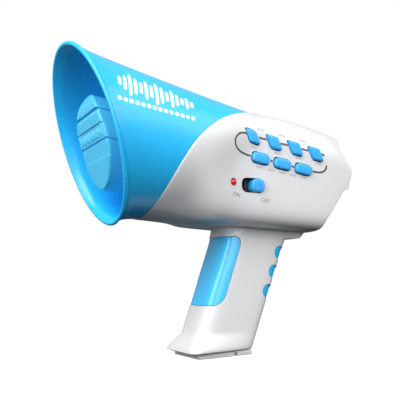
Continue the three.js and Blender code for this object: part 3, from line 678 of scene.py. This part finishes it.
def grip_block(name, inset, low, high, lip=0.0):
    """A solid that fills the grip's surface, less an inset, with a rounded lower lip."""
    levels = [(low + lip + (high - low - lip) * i / 60, inset) for i in range(61)]
    if lip:
        levels = [(low, inset + lip), (low + 0.13 * lip, inset + 0.5 * lip),
                  (low + 0.5 * lip, inset + 0.13 * lip)] + levels
    rings = [grip_middle(low)] + [grip_ring(z, inset) for z, inset in levels] + [grip_middle(high)]
    return through_rings(name, rings)


def slab(name, outline, start, end, place=None, bevel=0.0, segments=3):
    """An outline of (along, up) points in millimetres, extruded along X; its edges may be rounded."""
    deselect()
    bpy.ops.mesh.primitive_circle_add(vertices=len(outline), fill_type="NGON")
    piece = bpy.context.object
    piece.name = piece.data.name = name
    for vertex, (along, up) in zip(piece.data.vertices, outline):
        vertex.co = Vector((start, along, up)) * MM
    bpy.ops.object.mode_set(mode="EDIT")
    bpy.ops.mesh.select_all(action="SELECT")
    bpy.ops.mesh.extrude_region_move(TRANSFORM_OT_translate={"value": ((end - start) * MM, 0, 0)})
    if bevel:
        bpy.ops.mesh.bevel(offset=bevel * MM, segments=segments, affect="EDGES", clamp_overlap=True)
    bpy.ops.mesh.select_all(action="SELECT")
    bpy.ops.mesh.normals_make_consistent(inside=False)
    bpy.ops.object.mode_set(mode="OBJECT")
    if place is not None:
        piece.matrix_world = place
        settle(piece)
    return piece


def corner_curve(enter, corner, leave, steps):
    """Points of a curve that leaves one side and joins the next, drawn towards the corner."""
    enter, corner, leave = Vector(enter), Vector(corner), Vector(leave)
    shares = [k / steps for k in range(steps + 1)]
    return [tuple(enter * (1 - t) ** 2 + corner * 2 * t * (1 - t) + leave * t * t) for t in shares]


def rounded_outline(corners, radius, steps=6):
    """Straight sides with a curve cut across each corner."""
    points = []
    for i, corner in enumerate(corners):
        here = Vector(corner)
        enter = here + (Vector(corners[i - 1]) - here).normalized() * radius
        leave = here + (Vector(corners[(i + 1) % len(corners)]) - here).normalized() * radius
        points += corner_curve(enter, here, leave, steps)
    return points


def rod(name, radius, start, end, along, up, vertices=40, place=None):
    """A rod parallel to X between two places, in millimetres."""
    angles = [TURN * i / vertices for i in range(vertices)]
    circle = [(along + radius * math.cos(a), up + radius * math.sin(a)) for a in angles]
    return slab(name, circle, start, end, place)


print("grip", [round(v, 4) for v in grip_point(0, 50, 0)])

# %% [markdown]
# ## Button shapes
# Four leaning buttons change the voice and three oval ones play tunes. The same
# outlines serve three times: for the caps, for the wells in the shell, and a
# little larger for the shadow gap between them.

# %% Button outlines in the horn's frame
BUTTON_PITCH = 19
EFFECT_ROW = 17  # heights of the two rows across the horn's axis
MELODY_ROW = 2.8
LAMP_PLACE = (97.6, -19.1)
SLIDER_Z = 120.6


def effect_outline(index, grow):
    centre, half, tall, lean = 109.6 + BUTTON_PITCH * index, 4.4 + grow, 4.5 + grow, 2.6 + 0.3 * grow
    corners = [(-half + lean, -tall), (half + lean, -tall), (half - lean, tall), (-half - lean, tall)]
    return rounded_outline([(centre + s, EFFECT_ROW + w) for s, w in corners], max(2.0 + grow, 0.4))


def bar_outline(along, up, length, height, radius, steps=10):
    corners = [(-1, -1), (1, -1), (1, 1), (-1, 1)]
    corners = [(along + i * length / 2, up + j * height / 2) for i, j in corners]
    return rounded_outline(corners, radius, steps)


def melody_outline(index, grow):
    along = 118.4 + BUTTON_PITCH * index
    return bar_outline(along, MELODY_ROW, 14.3 + 2 * grow, 7.3 + 2 * grow, 3.5 + grow)


def slot_outline():
    return bar_outline(14.2, SLIDER_Z, 19.5, 10.6, 5.1)


# %% [markdown]
# ## White housing
# The real housing is two mouldings that meet on the middle plane. It is built
# whole first, since both halves share one surface: the sleeve and body, the grip
# and the ledge behind it are joined, the grip is hollowed, screw posts are put
# in, and every opening is cut. Then each half is what is left on its side of a
# 0.3 mm parting gap.

# %% Sleeve and body
SHELL_WALL = 2.1
GRIP_WALL = 2.2
BODY_COLUMNS = 176


def sleeve_rings():
    rolled = [(1.0, 0.0), (0.45, 0.12), (0.12, 0.45), (0.0, 1.0)]  # depth, distance from the edge
    rings = []
    for depth, back in [(SHELL_WALL, 0.55), (1.5, 0.1)] + rolled:
        rings.append((lambda a, d=depth, b=back: sleeve_radius(a, sleeve_front(a) + b) - d,
                      lambda a, b=back: sleeve_front(a) + b))
    for i in range(1, 76):
        def station(a, f=i / 76):
            return (sleeve_front(a) + 1.0) * (1 - f) + (sleeve_rear(a) - 1.0) * f
        rings.append((lambda a, at=station: sleeve_radius(a, at(a)), station))
    for depth, back in reversed(rolled):
        rings.append((lambda a, d=depth, b=back: sleeve_radius(a, sleeve_rear(a) - b) - d,
                      lambda a, b=back: sleeve_rear(a) - b))
    for i in range(0, 31):
        def station(a, f=i / 30):
            return (sleeve_rear(a) - 0.3) * (1 - f) + (sleeve_front(a) + 0.55) * f
        rings.append((lambda a, at=station: sleeve_radius(a, at(a)) - SHELL_WALL, station))
    return [ring(BODY_COLUMNS, radius, station) for radius, station in rings]


def body_block(name, depth, start, end, columns=BODY_COLUMNS, steps=40):
    """A solid that fills the body's surface, less a depth, between two stations."""
    stations = [start + (end - start) * i / steps for i in range(steps + 1)]
    rings = [ring(columns, lambda a, s=s: sleeve_radius(a, s) - depth, lambda a, s=s: s)
             for s in stations]
    ends = [[horn_point(0, s, 0)] * (columns + 1) for s in (start, end)]
    return through_rings(name, [ends[0], *rings, ends[1]])


housing = through_rings("housing", sleeve_rings())

# %% Grip, ledge and hollow
grip = grip_block("grip", 0, GRIP_BOTTOM, GRIP_TOP, lip=0.9)
ledge_outline = [(46, 84), (69, 84), (76, 92), (80, 104), (46, 104)]
LEDGE_HALF_WIDTH = GRIP_HALF_WIDTH - 0.4
ledge = slab("ledge", rounded_outline(ledge_outline, 1.2), -LEDGE_HALF_WIDTH, LEDGE_HALF_WIDTH)
boolean(grip, ledge, "UNION")
boolean(grip, body_block("cavity", SHELL_WALL - 0.05, 60, 215))
boolean(housing, grip, "UNION")
boolean(housing, grip_block("hollow", GRIP_WALL, 0, GRIP_TOP + 8))
print("housing", len(housing.data.polygons), "faces")

# %% [markdown]
# Six screws go in from the far side, through posts that reach the parting
# plane. Each post is a rod kept to the inside of the wall, with a wide bore for
# the head and a narrow one for the thread.

# %% Screw posts
def grip_place():
    return Matrix.Rotation(math.radians(-21.5), 4, "X")


# where each post stands, and how far across the toy its screw's head sits
horn_screws = [(128, 33), (168, 33), (92, -37), (168, -33)]
grip_screws = [((-19.4, 26), -9), ((-8, 84), -11)]
POSTS = [(horn_place() @ (Vector((0, s, w)) * MM), -22) for s, w in horn_screws]
POSTS += [(grip_place() @ (Vector((0, *place)) * MM), head) for place, head in grip_screws]


def post_rods(radius, start, end):
    rods = []
    for at, head in POSTS:
        near = start(head) if callable(start) else start
        far = end(head) if callable(end) else end
        rods.append(rod("post", radius, near, far, at.y / MM, at.z / MM, 32))
    return join(rods, "posts")


posts = post_rods(4.1, -60, 60)
inside = body_block("inside", 0.9, 75, 184, 96, 24)
boolean(inside, grip_block("grip_inside", 0.7, 5, GRIP_TOP), "UNION")
boolean(posts, inside, "INTERSECT")
boolean(housing, posts, "UNION")
boolean(housing, post_rods(3.1, -70, lambda head: head))
boolean(housing, post_rods(1.6, lambda head: head - 1, 13))

# %% Openings
WELL_GAP = 0.85
tools = [slab("well", effect_outline(i, WELL_GAP), 30, 60, horn_place()) for i in range(4)]
tools += [slab("well", melody_outline(i, WELL_GAP), 30, 60, horn_place()) for i in range(3)]
tools.append(rod("lamp_hole", 2.7, 30, 60, *LAMP_PLACE, 40, horn_place()))
tools.append(slab("slot", slot_outline(), 30, 60))
boolean(housing, join(tools, "openings"))


def window_outline(grow):
    """The blue panel's window, seen from the side; its rear corners are round."""
    low, high, corner = 36 - grow, 86 + grow, 9 + grow
    rear_low, rear_high = [grip_front(z) + 12.5 + grow for z in (low, high)]
    rise = FRONT_RAKE * corner
    lower = [(rear_low - corner, low), (rear_low, low), (rear_low + rise, low + corner)]
    upper = [(rear_high - rise, high - corner), (rear_high, high), (rear_high - corner, high)]
    return [(-60, low), *corner_curve(*lower, 12), *corner_curve(*upper, 12), (-60, high)]


LOBE_RADIUS = 5.2
LOBE_GAP = 0.3
LOBES = [(grip_back(z) - 3.6, z - 0.3) for z in (73.5, 59.3, 45)]


def lobe_rods(radius):
    return join([rod("lobe", radius, -40, 40, y, z, 56) for y, z in LOBES], "lobes")


boolean(housing, slab("window", window_outline(0), -40, 40))
boolean(housing, lobe_rods(LOBE_RADIUS))
print("housing with openings", len(housing.data.polygons), "faces")


# %% [markdown]
# A half is the whole housing with a big block taken away on the other side.

# %% Left and right halves
PARTING_GAP = 0.3


def half_of(piece, name, side):
    block = box("block", at_place(side * (150 + PARTING_GAP / 2), 0, 100), (300, 600, 600))
    return boolean(copy_of(piece, name), block, "INTERSECT")


left_half = half_of(housing, "housing_left", 1)
right_half = half_of(housing, "housing_right", -1)
bpy.data.objects.remove(housing)
for half, node in ((left_half, "body_shell_left"), (right_half, "body_shell_right")):
    smooth(half, 32)
    finish_piece(half, white_abs, [node])

# %% [markdown]
# ## Blue grip panel
# The panel is a thin moulding let into the front of the grip, a little lower than
# the white around it. It is the grip's own surface, taken in by 0.4 mm and kept
# only inside the window's outline, so the two always follow each other. Its rim
# is bevelled, as a moulded edge is.

# %% Front grip panel
panel = grip_block("grip_panel", 0.4, 20, GRIP_TOP)
boolean(panel, grip_block("behind_panel", 2.4, 10, GRIP_TOP))
boolean(panel, slab("panel_window", window_outline(-0.3), -40, 40), "INTERSECT")


def soften(piece, width, segments=2, limit=40):
    modifier = piece.modifiers.new("soften", "BEVEL")
    modifier.width = width * MM
    modifier.segments = segments
    modifier.limit_method = "ANGLE"
    modifier.angle_limit = math.radians(limit)
    return apply_all(piece)


soften(panel, 0.35)
smooth(panel, 40)
finish_piece(panel, panel_abs, ["front_grip_panel"])

# %% [markdown]
# ## Rear grip strip
# Three blue half-rounds look out at the back edge of the grip. On the real toy
# they are one strip inside the shell, so a spine joins them here too.

# %% Rear grip strip
strip = grip_block("grip_strip", 0.5, 20, 95)
boolean(strip, lobe_rods(LOBE_RADIUS - LOBE_GAP), "INTERSECT")
boolean(strip, grip_block("strip_hollow", 3.7, 20, 95))
spine = grip_block("spine", 2.5, 38, 81)
boolean(spine, grip_block("spine_hollow", 4.1, 30, 88))
spine_side = [(grip_back(z) + reach, z) for z, reach in ((38, -6), (38, 10), (81, 10), (81, -6))]
boolean(spine, slab("spine_side", spine_side, -15, 15), "INTERSECT")
boolean(strip, spine, "UNION")
soften(strip, 0.25)
smooth(strip, 40)
finish_piece(strip, horn_abs, ["rear_grip_strip"])

# %% [markdown]
# ## Mouthpiece
# The rear is closed by a blue dish, which leans like the cheeks beside it. Its
# rings run from the middle of the dish out to the rim and back along the side;
# seven small holes let the voice through to the microphone.

# %% Mouthpiece cap
CAP_STATION = 190.5
# radius and station of the dish, measured from its leaning plane
DISH = [(1.0, -7.5), (5, -7.5), (9, -7.4), (13, -7.0), (17, -6.2), (21, -5.2),
        (24, -3.9), (27, -2.4), (29, -1.1), (30.2, -0.3), (31, 0.1), (31.8, 0.3)]


def cap_radius(a):
    return sleeve_radius(a, 190) - SHELL_WALL - 1


def cap_point(a, radius, back):
    height = radius * math.sin(a)
    return horn_point(radius * math.cos(a), CAP_STATION + REAR_LEAN * height + back, height)


def cap_ring(radius, back, columns=112):
    angles = [TURN * (i % columns) / columns for i in range(columns + 1)]
    return [cap_point(a, radius(a), back) for a in angles]


cap_rings = [cap_ring(lambda a: 0, -7.5)]
cap_rings += [cap_ring(lambda a, r=r: r, back) for r, back in DISH]
cap_rings += [cap_ring(lambda a: cap_radius(a) - 0.9, 0.3), cap_ring(lambda a: cap_radius(a) - 0.3, 0.1)]
cap_rings += [cap_ring(cap_radius, back) for back in (-0.5, -3, -6, -10)]
cap_rings += [cap_ring(lambda a: cap_radius(a) - 2, back) for back in (-10, -9.2)]
cap_rings += [cap_ring(lambda a: 0, -9.2)]
cap = through_rings("mouthpiece", cap_rings)
deselect()
holes = []
for i in range(7):
    reach = 5 if i < 6 else 0
    bpy.ops.mesh.primitive_cylinder_add(vertices=20, radius=1.1 * MM, depth=0.03)
    hole = bpy.context.object
    at = Vector((reach * math.cos(TURN * i / 6), 185, reach * math.sin(TURN * i / 6))) * MM
    hole.matrix_world = horn_place() @ Matrix.Translation(at) @ Matrix.Rotation(math.pi / 2, 4, "X")
    holes.append(settle(hole))
boolean(cap, join(holes, "voice_holes"))
smooth(cap, 40)
finish_piece(cap, horn_abs, ["mouthpiece_cap"])

# %% [markdown]
# ## Buttons
# A cap is its outline pushed out of the panel, with a rounded rim and a top that
# swells very slightly, so that it catches the light along one side. The flange
# below the panel keeps it from falling out.

# %% Button caps
PANEL_X = 40
BUTTON_PROUD = 2.3
CAP_FOOT = 35.5
# taken in from the outline, and height over the panel's top level
RIM = [(0.0, -0.9), (0.07, -0.56), (0.26, -0.26), (0.56, -0.07),
       (0.9, 0.0), (1.5, 0.07), (2.2, 0.13), (3.0, 0.16)]


def button(kind, outline_at, index):
    top = PANEL_X + BUTTON_PROUD

    def level(inset, x):
        outline = [Vector((x, s, w)) * MM for s, w in outline_at(index, -inset)]
        return outline + [outline[0]]

    plain = outline_at(index, 0)
    middle = sum((Vector(p) for p in plain), Vector((0, 0))) / len(plain)
    low, high = ([Vector((x, *middle)) * MM] * (len(plain) + 1) for x in (CAP_FOOT, top + 0.17))
    rim = [level(inset, top + x) for inset, x in RIM]
    cap_piece = through_rings(f"{kind}_cap_{index + 1}", [low, level(0, CAP_FOOT), *rim, high])
    flange = slab("flange", outline_at(index, 1.1), 34.8, 35.9)
    stem = slab("stem", outline_at(index, -1.8), 33, 35.4)
    cap_piece.matrix_world = flange.matrix_world = stem.matrix_world = horn_place()
    for part in (cap_piece, flange, stem):
        settle(part)
    boolean(cap_piece, flange, "UNION")
    boolean(cap_piece, stem, "UNION")
    smooth(cap_piece, 28)
    node, body = f"{kind}_button_{index + 1}", f"{kind}_key_{index + 1}"
    return finish_piece(cap_piece, button_abs, [node], body)


for i in range(4):
    button("effect", effect_outline, i)
for i in range(3):
    button("melody", melody_outline, i)

# %% [markdown]
# ## Power slider
# The thumb piece is an upright oval with five rounded ribs, on a wide black
# plate that slides under the panel and keeps dust out of the slot.

# %% Slider
SLIDER_Y = 18.2
KNOB_LENGTH = 10.5
KNOB_HEIGHT = 9.7

knob_outline = bar_outline(SLIDER_Y, SLIDER_Z, KNOB_LENGTH, KNOB_HEIGHT, 4.8)
knob = slab("slider_knob", knob_outline, 35, 41.7, bevel=0.5)
for i in range(-2, 3):
    tall = 2 * (4.2 - 0.25 * abs(i) ** 1.6)  # shorter towards the knob's round ends
    rib = box("rib", at_place(41.6, SLIDER_Y + 1.9 * i, SLIDER_Z), (1.6, 1.05, tall))
    boolean(knob, bevel_edges(rib, 0.4, 3), "UNION")
plate = slab("slider_plate", bar_outline(SLIDER_Y - 1, SLIDER_Z, 15, 14.6, 1.5), 33.9, 35.3)
smooth(knob, 32)
knob.data.materials.clear()
knob.data.materials.append(button_abs)
plate.data.materials.append(finishes["black_plastic"])
slider = join([knob, plate], "slider")
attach(slider, "slider")
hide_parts("power_slider")
print("slider at rest, towards OFF")

# %% [markdown]
# ## Lamp
# A 5 mm lamp is a short cylinder with a domed end, cast in red resin. The resin
# is lit from inside when the toy is on: it glows a little and shines like glass.

# %% Red lamp
deselect()
bpy.ops.mesh.primitive_uv_sphere_add(segments=40, ring_count=24, radius=2.4 * MM)
lamp = bpy.context.object
lamp.name = lamp.data.name = "lamp"
bpy.ops.object.mode_set(mode="EDIT")
bpy.ops.mesh.select_all(action="SELECT")
bpy.ops.mesh.bisect(plane_co=(0, 0, 0), plane_no=(1, 0, 0), clear_inner=True, use_fill=True)
bpy.ops.object.mode_set(mode="OBJECT")
for face in lamp.data.polygons:
    face.select = face.normal.x < -0.9 and len(face.vertices) > 8
bpy.ops.object.mode_set(mode="EDIT")
bpy.ops.mesh.extrude_region_move(TRANSFORM_OT_translate={"value": (-12 * MM, 0, 0)})
bpy.ops.mesh.select_all(action="SELECT")
bpy.ops.mesh.normals_make_consistent(inside=False)
bpy.ops.object.mode_set(mode="OBJECT")
lamp.matrix_world = horn_place() @ at_place(PANEL_X + 0.6, *LAMP_PLACE)
settle(lamp)
smooth(lamp, 40)

lamp_resin, tree, at = new_material("lit_red_epoxy_resin")
red = two_tones(tree, noise(tree, at, 1 / 900), colour("#A80E10"), colour("#C41A18"))
shader = add_node(tree, "ShaderNodeBsdfPrincipled", {
    "Base Color": red, "Roughness": 0.12, "IOR": 1.54, "Coat Weight": 0.6,
    "Coat Roughness": 0.05, "Emission Color": colour("#E01414"), "Emission Strength": 0.25})
add_node(tree, "ShaderNodeOutputMaterial", {"Surface": shader.outputs[0]})
finish_piece(lamp, lamp_resin, ["power_led"])

# %% [markdown]
# ## Print on the panel
# The panel's lines and words are pad-printed ink. Ink has a real, tiny height, so
# each mark is a thin ribbon that follows the curved panel 0.06 mm above it. The
# small captions round the buttons are plain dashes, and the slider keeps its ON
# and OFF.

# %% Ribbons of ink that follow the panel
INK = 0.06


def panel_x(s, w):
    """How far out the panel's surface is at a station and height."""
    x = float(PANEL_X)
    for _ in range(12):
        radius = sleeve_radius(math.atan2(w, x), s)
        x = math.sqrt(max(radius * radius - w * w, 1))
    return x


def ribbon(name, points, width, raise_by=INK):
    """A flat line of ink through (station, height) points on the panel."""
    path = [Vector(p) for p in points]
    rings = []
    for i, at in enumerate(path):
        before, after = path[max(i - 1, 0)], path[min(i + 1, len(path) - 1)]
        along = (after - before).normalized()
        side = Vector((-along.y, along.x)) * width / 2
        corners = [(at - side, -INK), (at - side, raise_by), (at + side, raise_by), (at + side, -INK)]
        loop = [horn_point(panel_x(p.x, p.y) + lift, p.x, p.y) for p, lift in corners]
        rings.append(loop + [loop[0]])
    centres = [sum(r[:4], Vector()) / 4 for r in (rings[0], rings[-1])]
    return through_rings(name, [[centres[0]] * 5, *rings, [centres[1]] * 5])


def curve_through(points, steps=8):
    """Catmull-Rom points through the given ones."""
    path = [Vector(p) for p in points]
    out = []
    for i in range(len(path) - 1):
        p0, p1 = path[max(i - 1, 0)], path[i]
        p2, p3 = path[i + 1], path[min(i + 2, len(path) - 1)]
        for k in range(steps):
            t = k / steps
            out.append(0.5 * (2 * p1 + (p2 - p0) * t + (2 * p0 - 5 * p1 + 4 * p2 - p3) * t * t
                              + (3 * p1 - p0 - 3 * p2 + p3) * t ** 3))
    out.append(path[-1])
    return out


LOOP_WIDTH = 1.5
LINES = [
    [(104.4, 17.6), (101.0, 17.5), (97.4, 15.9), (94.6, 12.6), (93.9, 9.2),
     (95.6, 6.0), (99.2, 3.8), (104, 2.9), (110, 2.7)],
    [(115.6, 17.9), (122.2, 18.0)],
    [(134.6, 18.0), (141.2, 18.2)],
    [(153.6, 18.3), (160.2, 18.5)],
    [(172.4, 18.7), (175.6, 18.1)],
    [(177.8, 10.8), (177.2, 7.6), (175, 5.2), (171.4, 3.8), (165.4, 3.2)],
    [(127.2, 3.1), (129, 3.1)],
    [(146.2, 3.1), (148, 3.1)],
]
lines = join([ribbon("line", curve_through(points), LOOP_WIDTH) for points in LINES], "printed_loop")
finish_piece(lines, finishes["grey_ink"])

CAPTIONS = [(116.9, 24.4), (135.8, 24.6), (155.1, 24.8), (112.4, 9.6), (132.6, 9.8), (151.7, 10.2),
            (170.4, 10.2), (118.6, -3.6), (128.6, -3.6), (138.4, -3.5), (148.2, -3.4), (157.8, -3.2)]
dashes = []
for s, w in CAPTIONS:
    for k in (-1.5, -0.5, 0.5, 1.5):
        dashes.append(ribbon("dash", [(s + 1.5 * k - 0.35, w), (s + 1.5 * k + 0.35, w)], 1.3))
captions = join(dashes, "printed_captions")
finish_piece(captions, finishes["pale_ink"])


# %% ON and OFF
def word(text, s, w, size):
    deselect()
    bpy.ops.object.text_add()
    letters = bpy.context.object
    letters.data.body = text
    letters.data.align_x = "CENTER"
    letters.data.align_y = "CENTER"
    letters.data.size = size * MM
    letters.data.extrude = 0.06 * MM
    bpy.ops.object.convert(target="MESH")
    letters = bpy.context.object
    for vertex in letters.data.vertices:
        along, up = s + vertex.co.x / MM, w + vertex.co.y / MM
        vertex.co = horn_point(panel_x(along, up) + 0.05 + vertex.co.z / MM, along, up)
    return letters


words = join([word("ON", 101.6, -27.4, 4.2), word("OFF", 126.5, -26.8, 4.2)], "printed_words")
finish_piece(words, finishes["pale_ink"])

# %% [markdown]
# ## Print on the horn
# The horn's side carries white print. Here it is a plain sound-wave pattern:
# upright bars of different heights over a row of dashes. The bars are patches of
# the horn's own surface, lifted by the thickness of ink.

# %% Sound-wave print
def patch(name, s_from, s_to, a_from, a_to, columns=4, rows=14):
    """A thin patch of the horn between two stations and two angles in degrees."""
    rings = []
    for i in range(rows + 1):
        a = math.radians(a_from + (a_to - a_from) * i / rows)
        t = i / rows
        pinch = 1 - (1 - math.sqrt(max(1 - (2 * t - 1) ** 8, 0))) * 0.8
        middle, half = (s_from + s_to) / 2, (s_to - s_from) / 2 * pinch
        across = [middle - half + 2 * half * k / columns for k in range(columns + 1)]
        top = [around_horn(a, flared_radius(a, s) + INK, s) for s in across]
        low = [around_horn(a, flared_radius(a, s) - INK, s) for s in reversed(across)]
        rings.append(top + low + [top[0]])
    centres = [sum(r[:-1], Vector()) / (len(r) - 1) for r in (rings[0], rings[-1])]
    size = len(rings[0])
    return through_rings(name, [[centres[0]] * size, *rings, [centres[1]] * size])


BAR_HEIGHTS = [9, 15, 23, 17, 12, 20, 14, 24, 18, 11, 19, 13, 8, 12, 7]  # degrees round the horn
bars = []
for i, tall in enumerate(BAR_HEIGHTS):
    s = 4 + 3.9 * i
    middle = 31 + 0.12 * i
    bars.append(patch("bar", s - 1.25, s + 1.25, middle - tall / 2, middle + tall / 2))
for i in range(14):
    s = 4 + 4.2 * i
    bars.append(patch("dash", s - 1.5, s + 1.5, 13.6 + 0.25 * i, 17.2 + 0.25 * i, rows=5))
print_on_horn = join(bars, "printed_waves")
smooth(print_on_horn, 50)
finish_piece(print_on_horn, finishes["white_ink"])

# %% [markdown]
# ## Battery door
# The foot is the battery door: a thick plate with a rounded rim, a rib that
# plugs into the grip, a screw in a countersunk hole and a notch to pry at.

# %% Battery door
DOOR_CORNERS = [(-21.5, -22.5), (21.5, -22.5), (18, 23.5), (-18, 23.5)]
DOOR_THICKNESS = 3.6
DOOR_SCREW_Y = -15

door = slab("door", rounded_outline([(y, -x) for x, y in DOOR_CORNERS], 4, 8), 0, DOOR_THICKNESS)
# the slab grew along X; turn X up, so that its outline lies flat
door.matrix_world = Matrix(((0, 0, -1, 0), (0, 1, 0, 0), (1, 0, 0, 0), (0, 0, 0, 1)))
settle(door)
soften(door, 0.6, 3, 60)
plug_rib = grip_block("door_rib", 2.7, 3.2, 7)
boolean(plug_rib, grip_block("door_socket", 4.4, 2, 10))
boolean(door, plug_rib, "UNION")


def upright_rod(name, radius, low, high, x, y, vertices=40):
    deselect()
    bpy.ops.mesh.primitive_cylinder_add(vertices=vertices, radius=radius * MM, depth=(high - low) * MM,
                                        location=Vector((x, y, (low + high) / 2)) * MM)
    piece = bpy.context.object
    piece.name = name
    return settle(piece)


boolean(door, upright_rod("countersink", 3.2, -1, 1.8, 0, DOOR_SCREW_Y))
boolean(door, upright_rod("screw_hole", 1.7, 1, 12, 0, DOOR_SCREW_Y))
boolean(door, box("notch", at_place(23.5, 7.9, 0.8), (13, 2.6, 3.6)))
smooth(door, 32)
finish_piece(door, white_abs, ["battery_door"], "door")

# %% [markdown]
# ## Screws
# All the screws that can be seen are pan-head self-tapping screws with a cross
# recess. One is modelled: a turned head with a rounded rim, a shank and a cross
# cut from two tapered slots. The rest are copies, each with its own mesh.

# %% One screw, then its copies
def make_screw(name, head_radius, head_height, shank_radius, length):
    """Head towards +Z, its top at the origin."""
    deselect()
    bpy.ops.mesh.primitive_cylinder_add(vertices=32, radius=head_radius * MM, depth=head_height * MM,
                                        location=(0, 0, -head_height / 2 * MM))
    screw = bpy.context.object
    screw.name = screw.data.name = name
    settle(screw)
    for face in screw.data.polygons:
        face.select = face.normal.z > 0.9
    bpy.ops.object.mode_set(mode="EDIT")
    bpy.ops.mesh.bevel(offset=0.45 * head_height * MM, segments=4, affect="EDGES")
    bpy.ops.object.mode_set(mode="OBJECT")
    bpy.ops.object.select_all(action="DESELECT")
    bpy.ops.mesh.primitive_cylinder_add(vertices=20, radius=shank_radius * MM, depth=length * MM,
                                        location=(0, 0, -(head_height * 0.5 + length / 2) * MM))
    shank = settle(bpy.context.object)
    boolean(screw, shank, "UNION")
    for turn_by in (0, math.pi / 2):
        slot_size = (head_radius * 1.15, 0.55, head_height * 1.3)
        boolean(screw, box("slot", Matrix.Rotation(turn_by, 4, "Z"), slot_size))
    return smooth(screw, 30)


housing_screw = make_screw("housing_screw", 2.6, 1.9, 1.25, 18)
toward_right = Matrix.Rotation(-math.pi / 2, 4, "Y")
for i, (at, head) in enumerate(POSTS):
    screw = copy_of(housing_screw, f"shell_screw_{i + 1}")
    top = at_place(head - 2.2, at.y / MM, at.z / MM)
    screw.matrix_world = top @ toward_right @ Matrix.Rotation(0.4 * i, 4, "Z")
    settle(screw)
    finish_piece(screw, finishes["steel"], [f"housing_screw_{i + 1}"])
bpy.data.objects.remove(housing_screw)

door_screw = make_screw("door_screw", 2.7, 1.2, 1.2, 8)
door_screw.matrix_world = at_place(0, DOOR_SCREW_Y, 0.5) @ Matrix.Rotation(math.pi, 4, "X")
settle(door_screw)
finish_piece(door_screw, finishes["steel"], ["battery_door_screw"], "door")

# %% [markdown]
# ## Finishes on the inner pieces
# The remaining pieces keep the shape that the frame gives them. Each one's name
# says what it is, so the finish is chosen by a part of its name.

# %% Inner finishes
INNER = {
    "mic_capsule": "steel", "mic_boot": "black_rubber", "slide_switch": "black_plastic",
    "button_membrane": "silicone", "main_board": "board_green", "sound_chip": "black_plastic",
    "filter_capacitor": "black_plastic", "board_screw": "steel", "speaker_frame": "steel",
    "speaker_cone": "cone_paper", "speaker_magnet": "steel", "speaker_gasket": "black_rubber",
    "speaker_screw": "steel", "battery_cell": "cell_jacket", "battery_spring": "steel",
    "battery_contact": "steel", "battery_cage": "black_plastic",
    "wire_red": "wire_red", "wire_black": "wire_black",
}
for name, node in nodes.items():
    chosen = [finish for part, finish in INNER.items() if part in name]
    if chosen:
        node.data.materials.clear()
        node.data.materials.append(finishes[chosen[0]])
shown = [name for name, node in nodes.items() if not node.hide_render]
print(len(shown), "inner pieces keep their frame shape")

# %% [markdown]
# ## Floor and light
# A plain pale floor and a white surround, so nothing but the toy draws the eye.
# A large soft lamp high in front is the main light. A small one low in front
# opens the horn and the grip panel, a weaker one fills the button side, and one
# behind rims the upper edges.

# %% Floor
deselect()
bpy.ops.mesh.primitive_circle_add(vertices=96, radius=3.0, fill_type="NGON", location=(0, 0, -0.0002))
floor = bpy.context.object
floor.name = "floor"
settle(floor)
floor_paper, tree, at = new_material("matt_white_paper")
tone = two_tones(tree, noise(tree, at, 1 / 300, 3.0), colour("#FFFFFF"), colour("#FAFAFA"))
shader = add_node(tree, "ShaderNodeBsdfPrincipled", {
    "Base Color": tone, "Roughness": 0.95,
    "Emission Color": (1, 1, 1, 1), "Emission Strength": 0.8})
add_node(tree, "ShaderNodeOutputMaterial", {"Surface": shader.outputs[0]})
floor.data.materials.append(floor_paper)
# the paper takes shadows but throws no light back, which keeps the undersides dark
floor.visible_diffuse = False
floor.visible_glossy = False

# %% Lights
WORLD_ABOVE = 0.45
WORLD_BELOW = 0.02
world = bpy.data.worlds.new("white_studio")
bpy.context.scene.world = world
world.use_nodes = True
tree = world.node_tree
surround = tree.nodes["Background"]
direction = add_node(tree, "ShaderNodeTexCoord").outputs["Generated"]
height = add_node(tree, "ShaderNodeSeparateXYZ", {0: direction}).outputs["Z"]
from_above = ramp(tree, height, -0.5, 0.6, WORLD_BELOW, WORLD_ABOVE, "SMOOTHSTEP")
tree.links.new(from_above, surround.inputs["Strength"])
paper_white = add_node(tree, "ShaderNodeBackground", {"Strength": 1.0})
for background in (surround, paper_white):
    background.inputs["Color"].default_value = (1, 1, 1, 1)
seen = add_node(tree, "ShaderNodeLightPath")
both = add_node(tree, "ShaderNodeMixShader", {
    0: seen.outputs["Is Camera Ray"], 1: surround.outputs[0], 2: paper_white.outputs[0]})
tree.links.new(both.outputs[0], tree.nodes["World Output"].inputs["Surface"])
bpy.context.scene.view_settings.view_transform = "Standard"


def soft_lamp(name, place, aim, width, height, watts):
    deselect()
    bpy.ops.object.light_add(type="AREA", location=place)
    light = bpy.context.object
    light.name = name
    light.data.shape = "RECTANGLE"
    light.data.size, light.data.size_y = width, height
    light.data.energy = watts
    light.rotation_euler = (Vector(aim) - Vector(place)).to_track_quat("-Z", "Y").to_euler()
    return light


soft_lamp("key_front", (0.35, -0.8, 0.75), (0, 0, 0.12), 0.8, 0.8, 12)
soft_lamp("low_front", (0.42, -0.85, 0.16), (0, 0, 0.15), 0.5, 0.3, 1.7)
soft_lamp("fill_button_side", (0.95, -0.05, 0.5), (0, 0, 0.12), 0.8, 0.6, 5.5)
soft_lamp("band_rear_side", (0.6, 0.65, 0.8), (0, 0, 0.13), 0.7, 0.7, 3)
